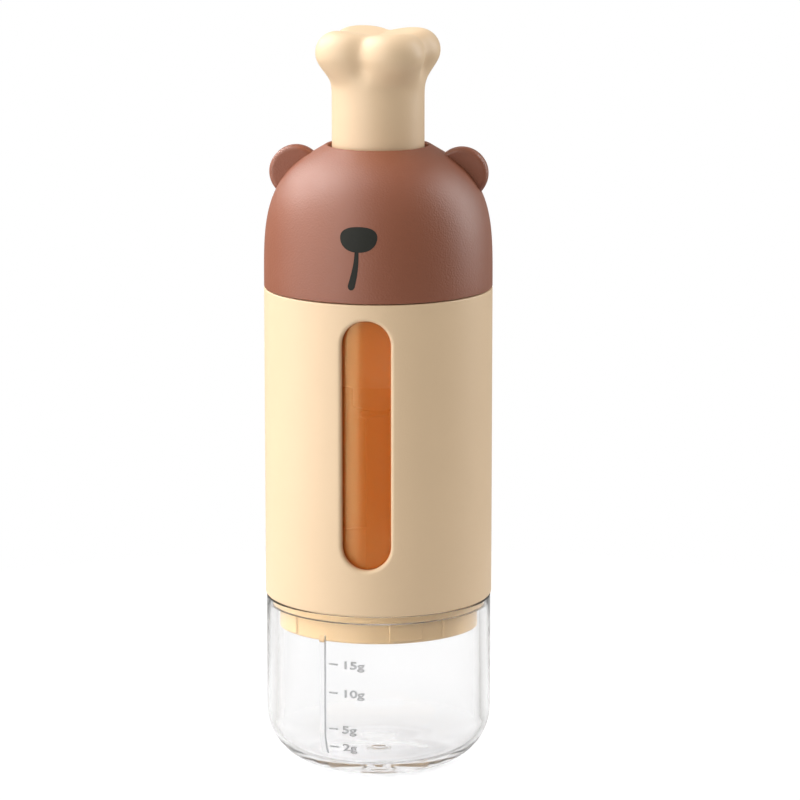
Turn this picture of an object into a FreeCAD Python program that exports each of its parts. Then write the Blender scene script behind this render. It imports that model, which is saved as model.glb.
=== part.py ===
import FreeCAD, Part
import math
import os

# A press-type dispenser for ground spice, standing on its measuring cup.
# Pressing the hat pushes a rod down through the barrel. A spool on the rod carries one
# portion through the throat of the funnel and drops it into the cup.
# Millimetres, +Z up, origin at the middle of the cup's foot, window towards -Y.

Vector = FreeCAD.Vector
CENTRE = Vector(0, 0, 0)
UP = Vector(0, 0, 1)

# Driving dimensions of the outside
BODY_R = 25.0             # sleeve and foot of the head
CUP_R = 24.8
CUP_TOP = 38.0
SLEEVE_BOTTOM = 38.2
SLEEVE_TOP = 106.6
HEAD_BOTTOM = 106.8
STEM_R = 10.08            # round stem of the hat
RUN = 0.05                # radial clearance of a running fit
STEM_RUN = 0.07           # the same for the stem in its guide
FIT = 0.05                # gap between pieces pressed together or standing on each other
EDGE = 0.2                # lightly broken edge
SMALLEST_ARC = 1.0        # a smaller rounding is a plain chamfer

# Measuring cup
CUP_BORE_R = 22.6
CUP_FLOOR = 3.0
CUP_CORNER = 12.1         # outside rounding from wall to foot
CUP_INNER_CORNER = 7.35
FOOT_R = 9.6              # recess inside the foot ring
FOOT_RECESS = 0.4
GATE_R = 2.6              # moulding gate in the middle of the foot
GATE_DEPTH = 0.35
CUP_REBATE_R = 24.0       # step inside the rim that the base ring seats in
CUP_REBATE_Z = 36.2

# Outer sleeve and its window
SLEEVE_BORE_R = 23.4
SLEEVE_LIP_R = 21.4       # inward lip at the top, under the head
SLEEVE_LIP_Z = 104.4
SNAP_Z = 40.0             # snap groove for the base ring
SNAP_DEPTH = 0.3
WINDOW_HALF = 5.3
WINDOW_BOTTOM = 48.35
WINDOW_TOP = 103.0
WINDOW_EDGE = 0.9         # rounding of the window's outer edge

# Spice barrel
BARREL_R = 23.1
BARREL_BORE_R = 21.7
BARREL_BOTTOM = 43.5
BARREL_SHOULDER = 104.3
NECK_R = 20.6
NECK_BORE_R = 19.2
NECK_TOP = 116.4

# Base ring, whose lower part plugs into the cup
SPIGOT_R = 22.1
SPIGOT_BOTTOM = 31.5
RING_TOP = 41.1
RING_BORE_R = 20.4
RING_PLATE = 1.6
HUB_HOLE_GAP = 0.2        # round the funnel's hub
GUSSETS = 6
FRICTION_RIBS = 4
SHOULDER_R = 23.8
SHOULDER_Z = 36.4
RIB_R = 22.45             # friction ribs that hold the cup
RIB_WIDTH = 1.0
PAD_R = 22.4
PAD_ANGLE = 21.5          # middle of the first pad, from the window
PAD_SPREAD = 18.0

# Metering funnel and throat
FLANGE_BOTTOM = 41.2
FLANGE_TOP = 43.4
FUNNEL_TOP = 47.5
FUNNEL_R = 21.6
CONE_TOP_R = 20.6
CONE_BOTTOM_R = 5.7
CONE_BOTTOM = 37.7
CONE_WALL = 2.1           # measured upright
FUNNEL_GROOVE = (45.3, 46.5)
FUNNEL_GROOVE_DEPTH = 0.8
HUB_R = 8.2
HUB_BORE_R = 7.0
HUB_BOTTOM = 31.0
THROAT_R = 5.5
THROAT_TOP = 37.2
THROAT_BOTTOM = 30.0
OUTLET_FLANGE_R = 8.1

# Press travel and the spool, drawn at rest
STROKE = 9.5
LAND_R = 5.3
LOWER_LAND = (30.5, 34.0)
UPPER_LAND = (40.4, 43.1)
WAIST_R = 2.9
LOWER_SEAT = 31.7         # where the sealing rings sit on the lands
UPPER_SEAT = 41.2
SEAL_HEIGHT = 1.1
SEAL_DEPTH = 1.0

# Rod and what it carries
ROD_R = 2.0
ROD_BOTTOM = 27.9
ROD_TOP = 130.3
TUBE_R = 2.75
TUBE_TOP = 77.3
CLIP_R = 4.05
CLIP_HEIGHT = 0.8
NUT_FLATS = 6.0           # across the flats
NUT_BOTTOM = 28.2
NUT_TOP = 30.4

# Guide sleeve, gland and stem guide in the lid
GUIDE_R = 12.4
GUIDE_BORE_R = 11.0
GUIDE_BOTTOM = 85.9
GUIDE_FLOOR = 87.5
GUIDE_TOP = 133.4
GUIDE_FLANGE_R = 15.5
GUIDE_FLANGE_Z = 120.1
GUIDE_FLANGE_HEIGHT = 1.5
GLAND_R = 5.6
GLAND_NECK_R = 4.55
GLAND_BEAD_R = 4.7        # snaps in over the floor of the guide sleeve
GLAND_BOTTOM = 79.9
GLAND_TOP = 88.0
WIPER_POCKET_R = 4.0
WIPER_POCKET_TOP = 82.9
STEM_GUIDE_BOTTOM = 124.6
STEM_GUIDE_TOP = 134.2

# Stem core, which plugs the stem from below. Its flange under the stem guide is the upper
# stop, and its long hub lands on the gland at the end of the stroke.
STEM_BOTTOM = 124.4
STEM_BORE_R = 8.5
STEM_BORE_TOP = 149.0
CORE_FLANGE_R = 10.9
CORE_FLANGE_BOTTOM = 122.4
CORE_FLANGE_TOP = 124.3
CORE_PLUG_TOP = 131.0
CORE_PLUG_WALL = 1.5
CORE_HUB_R = 3.6
CORE_HUB_BOTTOM = GLAND_TOP + STROKE + FIT
CORE_HUB_TOP = 131.5

# Return spring, wound round the rod in the guide sleeve
SPRING_R = 5.6            # to the middle of the wire
WIRE_R = 0.55
SPRING_BOTTOM = 88.3
WIRE_FLATS = 8            # the round wire has this many flats
END_PITCH = 1.65          # first and last turn
MIDDLE_TURNS = 5
WASHER_HEIGHT = 0.7

# Head: a dome that follows (r / radius)^2 + (h / height)^fullness = 1 and runs up to the
# opening as a straight cone
HEAD_WALL = 1.7
DOME_HEIGHT = 32.6
DOME_FULLNESS = 3.7
DOME_END = 0.61           # share of the radius where the cone takes over
DOME_STATIONS = 7
OPENING_R = 10.9
OPENING_CHAMFER = 0.5
EAR_REACH = 18.15
EAR_Z = 131.55
EAR_R = 5.8
EAR_THICKNESS = 3.8
EAR_ROUNDING = 1.0
EAR_BACK = 1.1            # middle of the ear behind the middle of the head

# Inner cap, screwed on the neck of the barrel
CAP_R = 22.7
CAP_BORE_R = 21.6
CAP_BOTTOM = 107.3
CAP_PLATE = (118.0, 120.0)
CAP_HOLE_R = 12.5
CAP_RIBS = 12
CAP_RIB_R = 23.05
CAP_RIB_TOP = 116.0
GASKET_BORE_R = 19.0
GASKET_R = 20.9
GASKET = (116.5, 117.9)

# Hat: four puffs round the stem. Seen from above each puff is part of a circle, and two
# neighbours meet in a fold. Each station is a closed curve that swings between the outline
# over a puff and the outline in the fold beside it.
PUFFS = 4
PUFF_TURN = 31.0          # direction of the first puff
PUFF_CENTRE = (9.7, 158.2)
PUFF_R = 4.6
VALLEY_CENTRE = (6.4, 158.0)
VALLEY_R = 3.9
LOBE_REACH = 7.0          # middle of a puff's circle, from the axis
LOBE_R = 7.2
PUFF_ANGLES = (-45, -15, 15, 45, 75, 105)
NECK_Z = 151.2            # where the stem flares into the puffs
NECK_FLARE = 0.2
STEM_TOP = 147.0          # where the plain stem ends under the neck
CROWN_Z = 161.6           # middle of the top
CROWN_R = 0.6
CROWN_SHOULDER_R = 2.6
PUFF_RISE = 0.25          # of the crown's shoulder over its middle
VALLEY_RISE = 0.05
HAT_POINTS = 32           # points round each station


def outline(corners):
    """Closed wire in the XZ plane. A corner is (radius, height) or (radius, height, rounding).

    A rounding is an arc that touches both sides, or a chamfer between the same two ends."""
    points = [Vector(corner[0], 0, corner[1]) for corner in corners]
    stretches = []
    for number, corner in enumerate(corners):
        here = points[number]
        if len(corner) == 2:
            stretches.append((here, None, here))
            continue
        back = (points[number - 1] - here).normalize()
        ahead = (points[(number + 1) % len(points)] - here).normalize()
        half = back.getAngle(ahead) / 2
        reach = corner[2] / math.tan(half)
        inward = (back + ahead).normalize()
        middle = here + inward * (corner[2] / math.sin(half) - corner[2])
        if corner[2] < SMALLEST_ARC:
            middle = None
        stretches.append((here + back * reach, middle, here + ahead * reach))
    edges = []
    for number, (start, middle, end) in enumerate(stretches):
        if middle is not None:
            edges.append(Part.Arc(start, middle, end).toShape())
        elif start.distanceToPoint(end) > 1e-6:
            edges.append(Part.LineSegment(start, end).toShape())
        following = stretches[(number + 1) % len(stretches)][0]
        if end.distanceToPoint(following) > 1e-6:
            edges.append(Part.LineSegment(end, following).toShape())
    return Part.Wire(edges)


def turned(*corners):
    """Solid of revolution about the Z axis."""
    return Part.Face(outline(corners)).revolve(CENTRE, UP, 360)


def ring(inner, outer, bottom, top, rounding=EDGE):
    """Washer with lightly rounded edges."""
    return turned((inner, bottom, rounding), (outer, bottom, rounding),
                  (outer, top, rounding), (inner, top, rounding))


def spun(shape, angle):
    """Copy of a shape turned about the Z axis."""
    copy = shape.copy()
    copy.rotate(CENTRE, UP, angle)
    return copy


def block(inner, outer, width, bottom, top):
    """Radial rib along +X, between two radii."""
    return Part.makeBox(outer - inner, width, top - bottom, Vector(inner, -width / 2, bottom))


def measuring_cup():
    return turned(
        (0, FOOT_RECESS + GATE_DEPTH), (GATE_R, FOOT_RECESS + GATE_DEPTH),
        (GATE_R, FOOT_RECESS), (FOOT_R, FOOT_RECESS), (FOOT_R + FOOT_RECESS, 0),
        (CUP_R, 0, CUP_CORNER), (CUP_R, CUP_TOP, 0.3), (CUP_REBATE_R, CUP_TOP, 0.2),
        (CUP_REBATE_R, CUP_REBATE_Z), (CUP_BORE_R, CUP_REBATE_Z, 0.2),
        (CUP_BORE_R, CUP_FLOOR, CUP_INNER_CORNER), (0, CUP_FLOOR))


def window_prism():
    """Pill-shaped prism that runs out through the front of the sleeve."""
    low, high = WINDOW_BOTTOM + WINDOW_HALF, WINDOW_TOP - WINDOW_HALF
    left, right = -WINDOW_HALF, WINDOW_HALF
    front = -BODY_R - 5
    edges = [
        Part.LineSegment(Vector(right, front, low), Vector(right, front, high)),
        Part.Arc(Vector(right, front, high), Vector(0, front, WINDOW_TOP), Vector(left, front, high)),
        Part.LineSegment(Vector(left, front, high), Vector(left, front, low)),
        Part.Arc(Vector(left, front, low), Vector(0, front, WINDOW_BOTTOM), Vector(right, front, low)),
    ]
    face = Part.Face(Part.Wire([edge.toShape() for edge in edges]))
    return face.extrude(Vector(0, BODY_R, 0))


def outer_sleeve():
    groove = SLEEVE_BORE_R + SNAP_DEPTH
    tube = turned(
        (SLEEVE_BORE_R, SLEEVE_BOTTOM), (BODY_R, SLEEVE_BOTTOM, 0.3), (BODY_R, SLEEVE_TOP, 0.3),
        (SLEEVE_LIP_R, SLEEVE_TOP), (SLEEVE_LIP_R, SLEEVE_LIP_Z), (SLEEVE_BORE_R, SLEEVE_LIP_Z),
        (SLEEVE_BORE_R, SNAP_Z + 0.6), (groove, SNAP_Z + 0.3), (groove, SNAP_Z - 0.3),
        (SLEEVE_BORE_R, SNAP_Z - 0.6))
    sleeve = tube.cut(window_prism())
    rim = []
    for edge in sleeve.Edges:
        box = edge.BoundBox
        middle = edge.valueAt((edge.FirstParameter + edge.LastParameter) / 2)
        on_outside = abs(math.hypot(middle.x, middle.y) - BODY_R) < 0.01
        if on_outside and box.YMax < -BODY_R / 2 and box.ZMin > SNAP_Z and box.ZMax < SLEEVE_LIP_Z:
            rim.append(edge)
    return sleeve.makeFillet(WINDOW_EDGE, rim)


def spice_barrel():
    inner_shoulder = BARREL_SHOULDER - (BARREL_R - BARREL_BORE_R)
    return turned(
        (BARREL_BORE_R, BARREL_BOTTOM), (BARREL_R, BARREL_BOTTOM, 0.2),
        (BARREL_R, BARREL_SHOULDER, 0.8), (NECK_R, BARREL_SHOULDER, 0.3),
        (NECK_R, NECK_TOP, 0.3), (NECK_BORE_R, NECK_TOP, 0.3),
        (NECK_BORE_R, inner_shoulder, 0.5), (BARREL_BORE_R, inner_shoulder, 0.9))


def base_ring():
    upper = SLEEVE_BORE_R - FIT
    bead = upper + SNAP_DEPTH
    seat = SLEEVE_BOTTOM - FIT
    plate_top = SPIGOT_BOTTOM + RING_PLATE
    hole = HUB_R + HUB_HOLE_GAP
    body = turned(
        (hole, SPIGOT_BOTTOM), (SPIGOT_R, SPIGOT_BOTTOM, 0.5), (SPIGOT_R, SHOULDER_Z),
        (SHOULDER_R, SHOULDER_Z, 0.2), (SHOULDER_R, seat), (upper, seat),
        (upper, SNAP_Z - 0.5), (bead, SNAP_Z - 0.2), (bead, SNAP_Z + 0.2), (upper, SNAP_Z + 0.5),
        (upper, RING_TOP), (RING_BORE_R, RING_TOP), (RING_BORE_R, plate_top, 0.5),
        (hole, plate_top))
    gusset = block(hole + 0.6, RING_BORE_R + 0.5, 1.2, plate_top - 0.3, plate_top + 1.5)
    friction_rib = block(SPIGOT_R - 0.5, RIB_R, RIB_WIDTH, SPIGOT_BOTTOM + 0.6, SHOULDER_Z + 0.3)
    pad_wall = ring(SPIGOT_R - 0.5, PAD_R, SPIGOT_BOTTOM + 0.5, SHOULDER_Z + 0.3, 0.1)
    pad_reach = Part.makeCylinder(BODY_R, BODY_R, Vector(0, 0, SPIGOT_BOTTOM), UP, PAD_SPREAD)
    pad = pad_wall.common(spun(pad_reach, -90 + PAD_ANGLE - PAD_SPREAD / 2))
    ribs = [spun(gusset, 360 / GUSSETS * step) for step in range(GUSSETS)]
    ribs += [spun(friction_rib, 360 / FRICTION_RIBS * (step + 0.5)) for step in range(FRICTION_RIBS)]
    ribs += [pad, spun(pad, 180)]
    return body.multiFuse(ribs).removeSplitter()


def cone_height(radius):
    """Height of the funnel's sloping floor at a radius."""
    slope = (FUNNEL_TOP - 0.2 - CONE_BOTTOM) / (CONE_TOP_R - CONE_BOTTOM_R)
    return CONE_BOTTOM + (radius - CONE_BOTTOM_R) * slope


def metering_funnel():
    groove = FUNNEL_R - FUNNEL_GROOVE_DEPTH
    low, high = FUNNEL_GROOVE
    inner_wall_r = RING_BORE_R - 0.2
    return turned(
        (HUB_BORE_R, HUB_BOTTOM), (HUB_R, HUB_BOTTOM), (HUB_R, cone_height(HUB_R) - CONE_WALL),
        (inner_wall_r, cone_height(inner_wall_r) - CONE_WALL), (inner_wall_r, FLANGE_BOTTOM),
        (BARREL_R, FLANGE_BOTTOM), (BARREL_R, FLANGE_TOP), (FUNNEL_R, FLANGE_TOP),
        (FUNNEL_R, low), (groove, low), (groove, high), (FUNNEL_R, high),
        (FUNNEL_R, FUNNEL_TOP), (CONE_TOP_R, FUNNEL_TOP), (CONE_TOP_R, cone_height(CONE_TOP_R)),
        (CONE_BOTTOM_R, CONE_BOTTOM), (CONE_BOTTOM_R, THROAT_TOP + 0.1),
        (HUB_BORE_R, THROAT_TOP + 0.1))


def funnel_seal():
    inner = FUNNEL_R - FUNNEL_GROOVE_DEPTH + FIT
    return ring(inner, BARREL_BORE_R - 0.02, FUNNEL_GROOVE[0] + 0.1, FUNNEL_GROOVE[1] - 0.1, 0.3)


def throat_bush():
    return turned(
        (THROAT_R, THROAT_BOTTOM), (OUTLET_FLANGE_R, THROAT_BOTTOM, 0.3),
        (OUTLET_FLANGE_R, HUB_BOTTOM - FIT), (HUB_BORE_R - FIT, HUB_BOTTOM - FIT),
        (HUB_BORE_R - FIT, THROAT_TOP), (THROAT_R, THROAT_TOP))


def metering_spool():
    bore = ROD_R + FIT / 2
    groove = LAND_R - SEAL_DEPTH + 0.1
    lower_end, upper_end = LOWER_SEAT + SEAL_HEIGHT + 0.1, UPPER_SEAT + SEAL_HEIGHT + 0.1
    return turned(
        (bore, LOWER_LAND[0]), (LAND_R, LOWER_LAND[0], EDGE), (LAND_R, LOWER_SEAT),
        (groove, LOWER_SEAT), (groove, lower_end), (LAND_R, lower_end), (LAND_R, LOWER_LAND[1]),
        (WAIST_R, LOWER_LAND[1], 0.8), (WAIST_R, UPPER_LAND[0], 0.8), (LAND_R, UPPER_LAND[0]),
        (LAND_R, UPPER_SEAT), (groove, UPPER_SEAT), (groove, upper_end), (LAND_R, upper_end),
        (LAND_R, UPPER_LAND[1], EDGE), (bore, UPPER_LAND[1]))


def spool_seal(seat):
    """Sealing ring that runs in the throat, on its seat on the spool."""
    outer = THROAT_R - RUN
    return ring(outer - SEAL_DEPTH, outer, seat + 0.05, seat + 0.05 + SEAL_HEIGHT, 0.3)


def push_rod():
    return turned((0, ROD_BOTTOM), (ROD_R, ROD_BOTTOM, 0.4), (ROD_R, ROD_TOP, 0.3), (0, ROD_TOP))


def rod_nut():
    side = NUT_FLATS / math.sqrt(3)
    corners = []
    for step in range(7):
        turn = math.radians(60 * step)
        corners.append(Vector(side * math.cos(turn), side * math.sin(turn), NUT_BOTTOM))
    prism = Part.Face(Part.makePolygon(corners)).extrude(UP * (NUT_TOP - NUT_BOTTOM))
    inner = ROD_R + FIT / 2
    chamfered = turned(
        (inner, NUT_BOTTOM), (side - 0.5, NUT_BOTTOM), (side, NUT_BOTTOM + 0.35),
        (side, NUT_TOP - 0.35), (side - 0.5, NUT_TOP), (inner, NUT_TOP))
    return prism.common(chamfered)


def rod_tube():
    return ring(ROD_R + FIT / 2, TUBE_R, UPPER_LAND[1] + 0.05, TUBE_TOP)


def rod_clip():
    return ring(ROD_R + FIT / 2, CLIP_R, TUBE_TOP + 0.05, TUBE_TOP + 0.05 + CLIP_HEIGHT)


def gland_bush():
    bore = ROD_R + RUN
    collar_top = GUIDE_BOTTOM - FIT
    return turned(
        (WIPER_POCKET_R, GLAND_BOTTOM), (GLAND_R, GLAND_BOTTOM, 0.3), (GLAND_R, collar_top),
        (GLAND_NECK_R, collar_top), (GLAND_NECK_R, GUIDE_FLOOR + FIT),
        (GLAND_BEAD_R, GUIDE_FLOOR + FIT), (GLAND_BEAD_R, GLAND_TOP, 0.2), (bore, GLAND_TOP),
        (bore, WIPER_POCKET_TOP), (WIPER_POCKET_R, WIPER_POCKET_TOP))


def rod_wiper():
    return ring(ROD_R + RUN, WIPER_POCKET_R - FIT, GLAND_BOTTOM + 0.15, WIPER_POCKET_TOP - 0.05)


def guide_sleeve():
    flange_top = GUIDE_FLANGE_Z + GUIDE_FLANGE_HEIGHT
    hole = GLAND_NECK_R + FIT
    return turned(
        (hole, GUIDE_BOTTOM), (GUIDE_R, GUIDE_BOTTOM, 0.8), (GUIDE_R, GUIDE_FLANGE_Z),
        (GUIDE_FLANGE_R, GUIDE_FLANGE_Z, 0.2), (GUIDE_FLANGE_R, flange_top, 0.2),
        (GUIDE_R, flange_top), (GUIDE_R, GUIDE_TOP), (GUIDE_BORE_R, GUIDE_TOP),
        (GUIDE_BORE_R, GUIDE_FLOOR, 0.3), (hole, GUIDE_FLOOR))


def stem_guide():
    bore = STEM_R + STEM_RUN
    return turned(
        (bore, STEM_GUIDE_BOTTOM, 0.3), (GUIDE_BORE_R - FIT, STEM_GUIDE_BOTTOM, 0.2),
        (GUIDE_BORE_R - FIT, GUIDE_TOP + FIT), (GUIDE_R, GUIDE_TOP + FIT),
        (GUIDE_R, STEM_GUIDE_TOP, 0.2), (bore, STEM_GUIDE_TOP, 0.3))


def stem_core():
    plug_r = STEM_BORE_R - FIT
    bore = ROD_R + FIT / 2
    return turned(
        (0, ROD_TOP + 0.1), (bore, ROD_TOP + 0.1), (bore, CORE_HUB_BOTTOM),
        (CORE_HUB_R, CORE_HUB_BOTTOM, 0.4), (CORE_HUB_R, CORE_FLANGE_BOTTOM),
        (CORE_FLANGE_R, CORE_FLANGE_BOTTOM, 0.2), (CORE_FLANGE_R, CORE_FLANGE_TOP, 0.2),
        (plug_r, CORE_FLANGE_TOP), (plug_r, CORE_PLUG_TOP, 0.3),
        (plug_r - CORE_PLUG_WALL, CORE_PLUG_TOP, 0.3), (plug_r - CORE_PLUG_WALL, CORE_FLANGE_TOP),
        (CORE_HUB_R, CORE_FLANGE_TOP), (CORE_HUB_R, CORE_HUB_TOP, 0.4), (0, CORE_HUB_TOP))


def spring_washer():
    return ring(GLAND_BEAD_R + 0.15, GUIDE_BORE_R - 0.4, GUIDE_FLOOR + 0.05,
                GUIDE_FLOOR + 0.05 + WASHER_HEIGHT)


def spring_height(turns, length):
    """Height of the wire above its lower end after some turns: close end turns, open middle."""
    middle_pitch = (length - 2 * END_PITCH) / MIDDLE_TURNS
    if turns <= 1:
        return END_PITCH * turns
    if turns <= 1 + MIDDLE_TURNS:
        return END_PITCH + middle_pitch * (turns - 1)
    return length - END_PITCH * (2 + MIDDLE_TURNS - turns)


def biarc(start, start_way, end, end_way):
    """Two tangent arcs from one point and direction to another."""
    chord = end - start
    ways = start_way + end_way
    curl = 2 * (1 - start_way.dot(end_way))
    across = chord.dot(ways)
    reach = (math.sqrt(across ** 2 + curl * chord.dot(chord)) - across) / curl
    corners = (start + start_way * reach, end - end_way * reach)
    joint = (corners[0] + corners[1]) * 0.5
    arcs = []
    for first, corner, last in ((start, corners[0], joint), (joint, corners[1], end)):
        middle = (first + last) * 0.5
        half = math.acos(min(1, (last - first).Length / 2 / (corner - first).Length))
        share = math.tan(half / 2) / math.tan(half)
        arcs.append(Part.Arc(first, middle + (corner - middle) * share, last).toShape())
    return arcs


def return_spring():
    """Wire wound as one unbroken tube, on two arcs for each half turn."""
    length = CORE_FLANGE_BOTTOM - 0.05 - WIRE_R - (SPRING_BOTTOM + WIRE_R)
    turns = MIDDLE_TURNS + 2

    def place(half_turns):
        angle = math.pi * half_turns
        rise = spring_height(half_turns / 2, length)
        return Vector(SPRING_R * math.cos(angle), SPRING_R * math.sin(angle),
                      SPRING_BOTTOM + WIRE_R + rise)

    def way(half_turns):
        angle = math.pi * half_turns
        low, high = max(0, half_turns - 0.5), min(2 * turns, half_turns + 0.5)
        pitch = (spring_height(high / 2, length) - spring_height(low / 2, length)) * 2 / (high - low)
        tangent = Vector(-math.sin(angle), math.cos(angle), pitch / (2 * math.pi * SPRING_R))
        return tangent.normalize()

    arcs = []
    for half_turns in range(2 * turns):
        arcs += biarc(place(half_turns), way(half_turns),
                      place(half_turns + 1), way(half_turns + 1))
    path = Part.Wire(arcs)
    outwards = Vector(1, 0, 0)
    upwards = way(0).cross(outwards).normalize()
    corners = []
    for flat in range(WIRE_FLATS + 1):
        turn = 2 * math.pi * (flat + 0.5) / WIRE_FLATS
        corners.append(place(0) + (outwards * math.cos(turn) + upwards * math.sin(turn)) * WIRE_R)
    section = Part.makePolygon(corners)
    print("least gap in the spring", round(END_PITCH - 2 * WIRE_R, 2), "mm")
    return path.makePipeShell([section], True, False)


def dome_curve(wall):
    """Points of the dome, set inwards by the wall, from its foot up to where the cone starts."""
    radius, height = BODY_R - wall, DOME_HEIGHT - wall
    top_share = (1 - DOME_END ** 2) ** (1 / DOME_FULLNESS)
    points = []
    for station in range(DOME_STATIONS + 1):
        share = math.sin(math.asin(top_share) * station / DOME_STATIONS)
        here = radius * math.sqrt(1 - share ** DOME_FULLNESS)
        points.append(Vector(here, 0, HEAD_BOTTOM + height * share))
    return points


def cone_rise(wall, opening):
    """Height of the cone's upper edge: it leaves the dome on the dome's own slope."""
    radius, height = BODY_R - wall, DOME_HEIGHT - wall
    share = (1 - DOME_END ** 2) ** (1 / DOME_FULLNESS)
    slope = 2 * DOME_END * height / (radius * DOME_FULLNESS * share ** (DOME_FULLNESS - 1))
    return HEAD_BOTTOM + height * share + (DOME_END * radius - opening) * slope


def dome_solid(wall, opening, above):
    """Solid of revolution under a dome and its cone, closed at its foot and over the opening."""
    points = dome_curve(wall)
    curve = Part.BSplineCurve()
    curve.interpolate(points)
    rim_z = cone_rise(wall, opening)
    corners = [points[-1], Vector(opening, 0, rim_z), Vector(opening, 0, rim_z + above),
               Vector(0, 0, rim_z + above), Vector(0, 0, HEAD_BOTTOM), points[0]]
    edges = [curve.toShape()]
    for start, end in zip(corners, corners[1:]):
        if start.distanceToPoint(end) > 1e-6:
            edges.append(Part.LineSegment(start, end).toShape())
    return Part.Face(Part.Wire(edges)).revolve(CENTRE, UP, 360)


def ear(side):
    """Round ear with rounded edges, a flat disc that stands across the head."""
    half = EAR_THICKNESS / 2
    disc = turned((0, -half), (EAR_R, -half, EAR_ROUNDING), (EAR_R, half, EAR_ROUNDING), (0, half))
    disc.rotate(CENTRE, Vector(1, 0, 0), 90)
    disc.translate(Vector(side * EAR_REACH, EAR_BACK, EAR_Z))
    return disc


def head_shell():
    rim_r = OPENING_R + OPENING_CHAMFER
    rim_z = cone_rise(0, rim_r)
    outside = dome_solid(0, rim_r, 0).multiFuse([ear(-1), ear(1)])
    inside = dome_solid(HEAD_WALL, OPENING_R, 5)
    chamfer = turned((0, rim_z - OPENING_CHAMFER), (OPENING_R, rim_z - OPENING_CHAMFER),
                     (rim_r, rim_z), (rim_r, rim_z + 1), (0, rim_z + 1))
    return outside.cut(inside).cut(chamfer)


def inner_cap():
    cap = turned(
        (CAP_BORE_R, CAP_BOTTOM, 0.3), (CAP_R, CAP_BOTTOM, 0.2), (CAP_R, CAP_PLATE[1], 0.9),
        (CAP_HOLE_R, CAP_PLATE[1]), (CAP_HOLE_R, CAP_PLATE[0]), (CAP_BORE_R, CAP_PLATE[0], 0.3))
    rib = block(CAP_R - 0.4, CAP_RIB_R, 1.2, CAP_BOTTOM + 0.3, CAP_RIB_TOP)
    return cap.multiFuse([spun(rib, 360 / CAP_RIBS * step) for step in range(CAP_RIBS)])


def lid_gasket():
    return ring(GASKET_BORE_R, GASKET_R, GASKET[0], GASKET[1], 0.3)


def hat_stations(centre, puff_r, shoulder_rise):
    """Radius and height of each station on one outline, from the top of the stem to the crown."""
    stations = [(STEM_R, STEM_TOP), (STEM_R, STEM_TOP + 1.35), (STEM_R, STEM_TOP + 2.7),
                (STEM_R + NECK_FLARE, NECK_Z + 0.6)]
    for angle in PUFF_ANGLES:
        turn = math.radians(angle)
        stations.append((centre[0] + puff_r * math.cos(turn), centre[1] + puff_r * math.sin(turn)))
    stations += [(CROWN_SHOULDER_R, CROWN_Z + shoulder_rise), (CROWN_R, CROWN_Z)]
    return stations


def lobe_radius(degrees):
    """Distance from the axis to a puff's circle, at an angle from the middle of the puff."""
    turn = math.radians(degrees)
    across = LOBE_REACH * math.sin(turn)
    return LOBE_REACH * math.cos(turn) + math.sqrt(LOBE_R ** 2 - across ** 2)


def puff_share(degrees):
    """1 on the middle of a puff, 0 in the fold between two puffs."""
    fold = lobe_radius(180 / PUFFS)
    return (lobe_radius(degrees) - fold) / (lobe_radius(0) - fold)


def hat_surface():
    """Smooth skin of the hat above the stem, a cubic spline on a net of control points."""
    # The spline runs inside its net, so the net is drawn larger by what the curves lose.
    round_swell = 3 / (2 + math.cos(2 * math.pi / HAT_POINTS))
    arc_swell = 3 / (2 + math.cos(math.radians(PUFF_ANGLES[1] - PUFF_ANGLES[0])))
    puff = hat_stations(PUFF_CENTRE, PUFF_R * arc_swell, PUFF_RISE)
    valley = hat_stations(VALLEY_CENTRE, VALLEY_R * arc_swell, VALLEY_RISE)
    net = []
    for number in range(HAT_POINTS):
        from_puff = (360 / HAT_POINTS * number + 180 / PUFFS) % (360 / PUFFS) - 180 / PUFFS
        angle = math.radians(PUFF_TURN + 360 / HAT_POINTS * number)
        share = puff_share(from_puff)
        column = []
        for (puff_r, puff_z), (valley_r, valley_z) in zip(puff, valley):
            radius = (valley_r + (puff_r - valley_r) * share) * round_swell
            height = valley_z + (puff_z - valley_z) * share
            column.append(Vector(radius * math.cos(angle), radius * math.sin(angle), height))
        net.append(column)
    spans = len(puff) - 3
    surface = Part.BSplineSurface()
    surface.buildFromPolesMultsKnots(
        net, [1] * (HAT_POINTS + 1), [4] + [1] * (spans - 1) + [4],
        [float(knot) for knot in range(HAT_POINTS + 1)], [float(knot) for knot in range(spans + 1)],
        True, False, 3, 3)
    return surface.toShape()


def hat_knob():
    skin = hat_surface()
    level_edges = [edge for edge in skin.Edges if edge.BoundBox.ZLength < 1e-6]
    foot, crown = sorted(level_edges, key=lambda edge: edge.BoundBox.ZMin)
    down = Vector(0, 0, STEM_BOTTOM - STEM_TOP)
    bottom = Part.Face(Part.Wire(foot)).translated(down)
    closed = Part.Compound([skin, foot.extrude(down), bottom, Part.Face(Part.Wire(crown))])
    closed.sewShape()
    bore = turned((0, STEM_BOTTOM - 1), (STEM_BORE_R, STEM_BOTTOM - 1),
                  (STEM_BORE_R, STEM_BORE_TOP, 3.0), (0, STEM_BORE_TOP))
    return Part.Solid(closed.Shells[0]).cut(bore)


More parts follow.
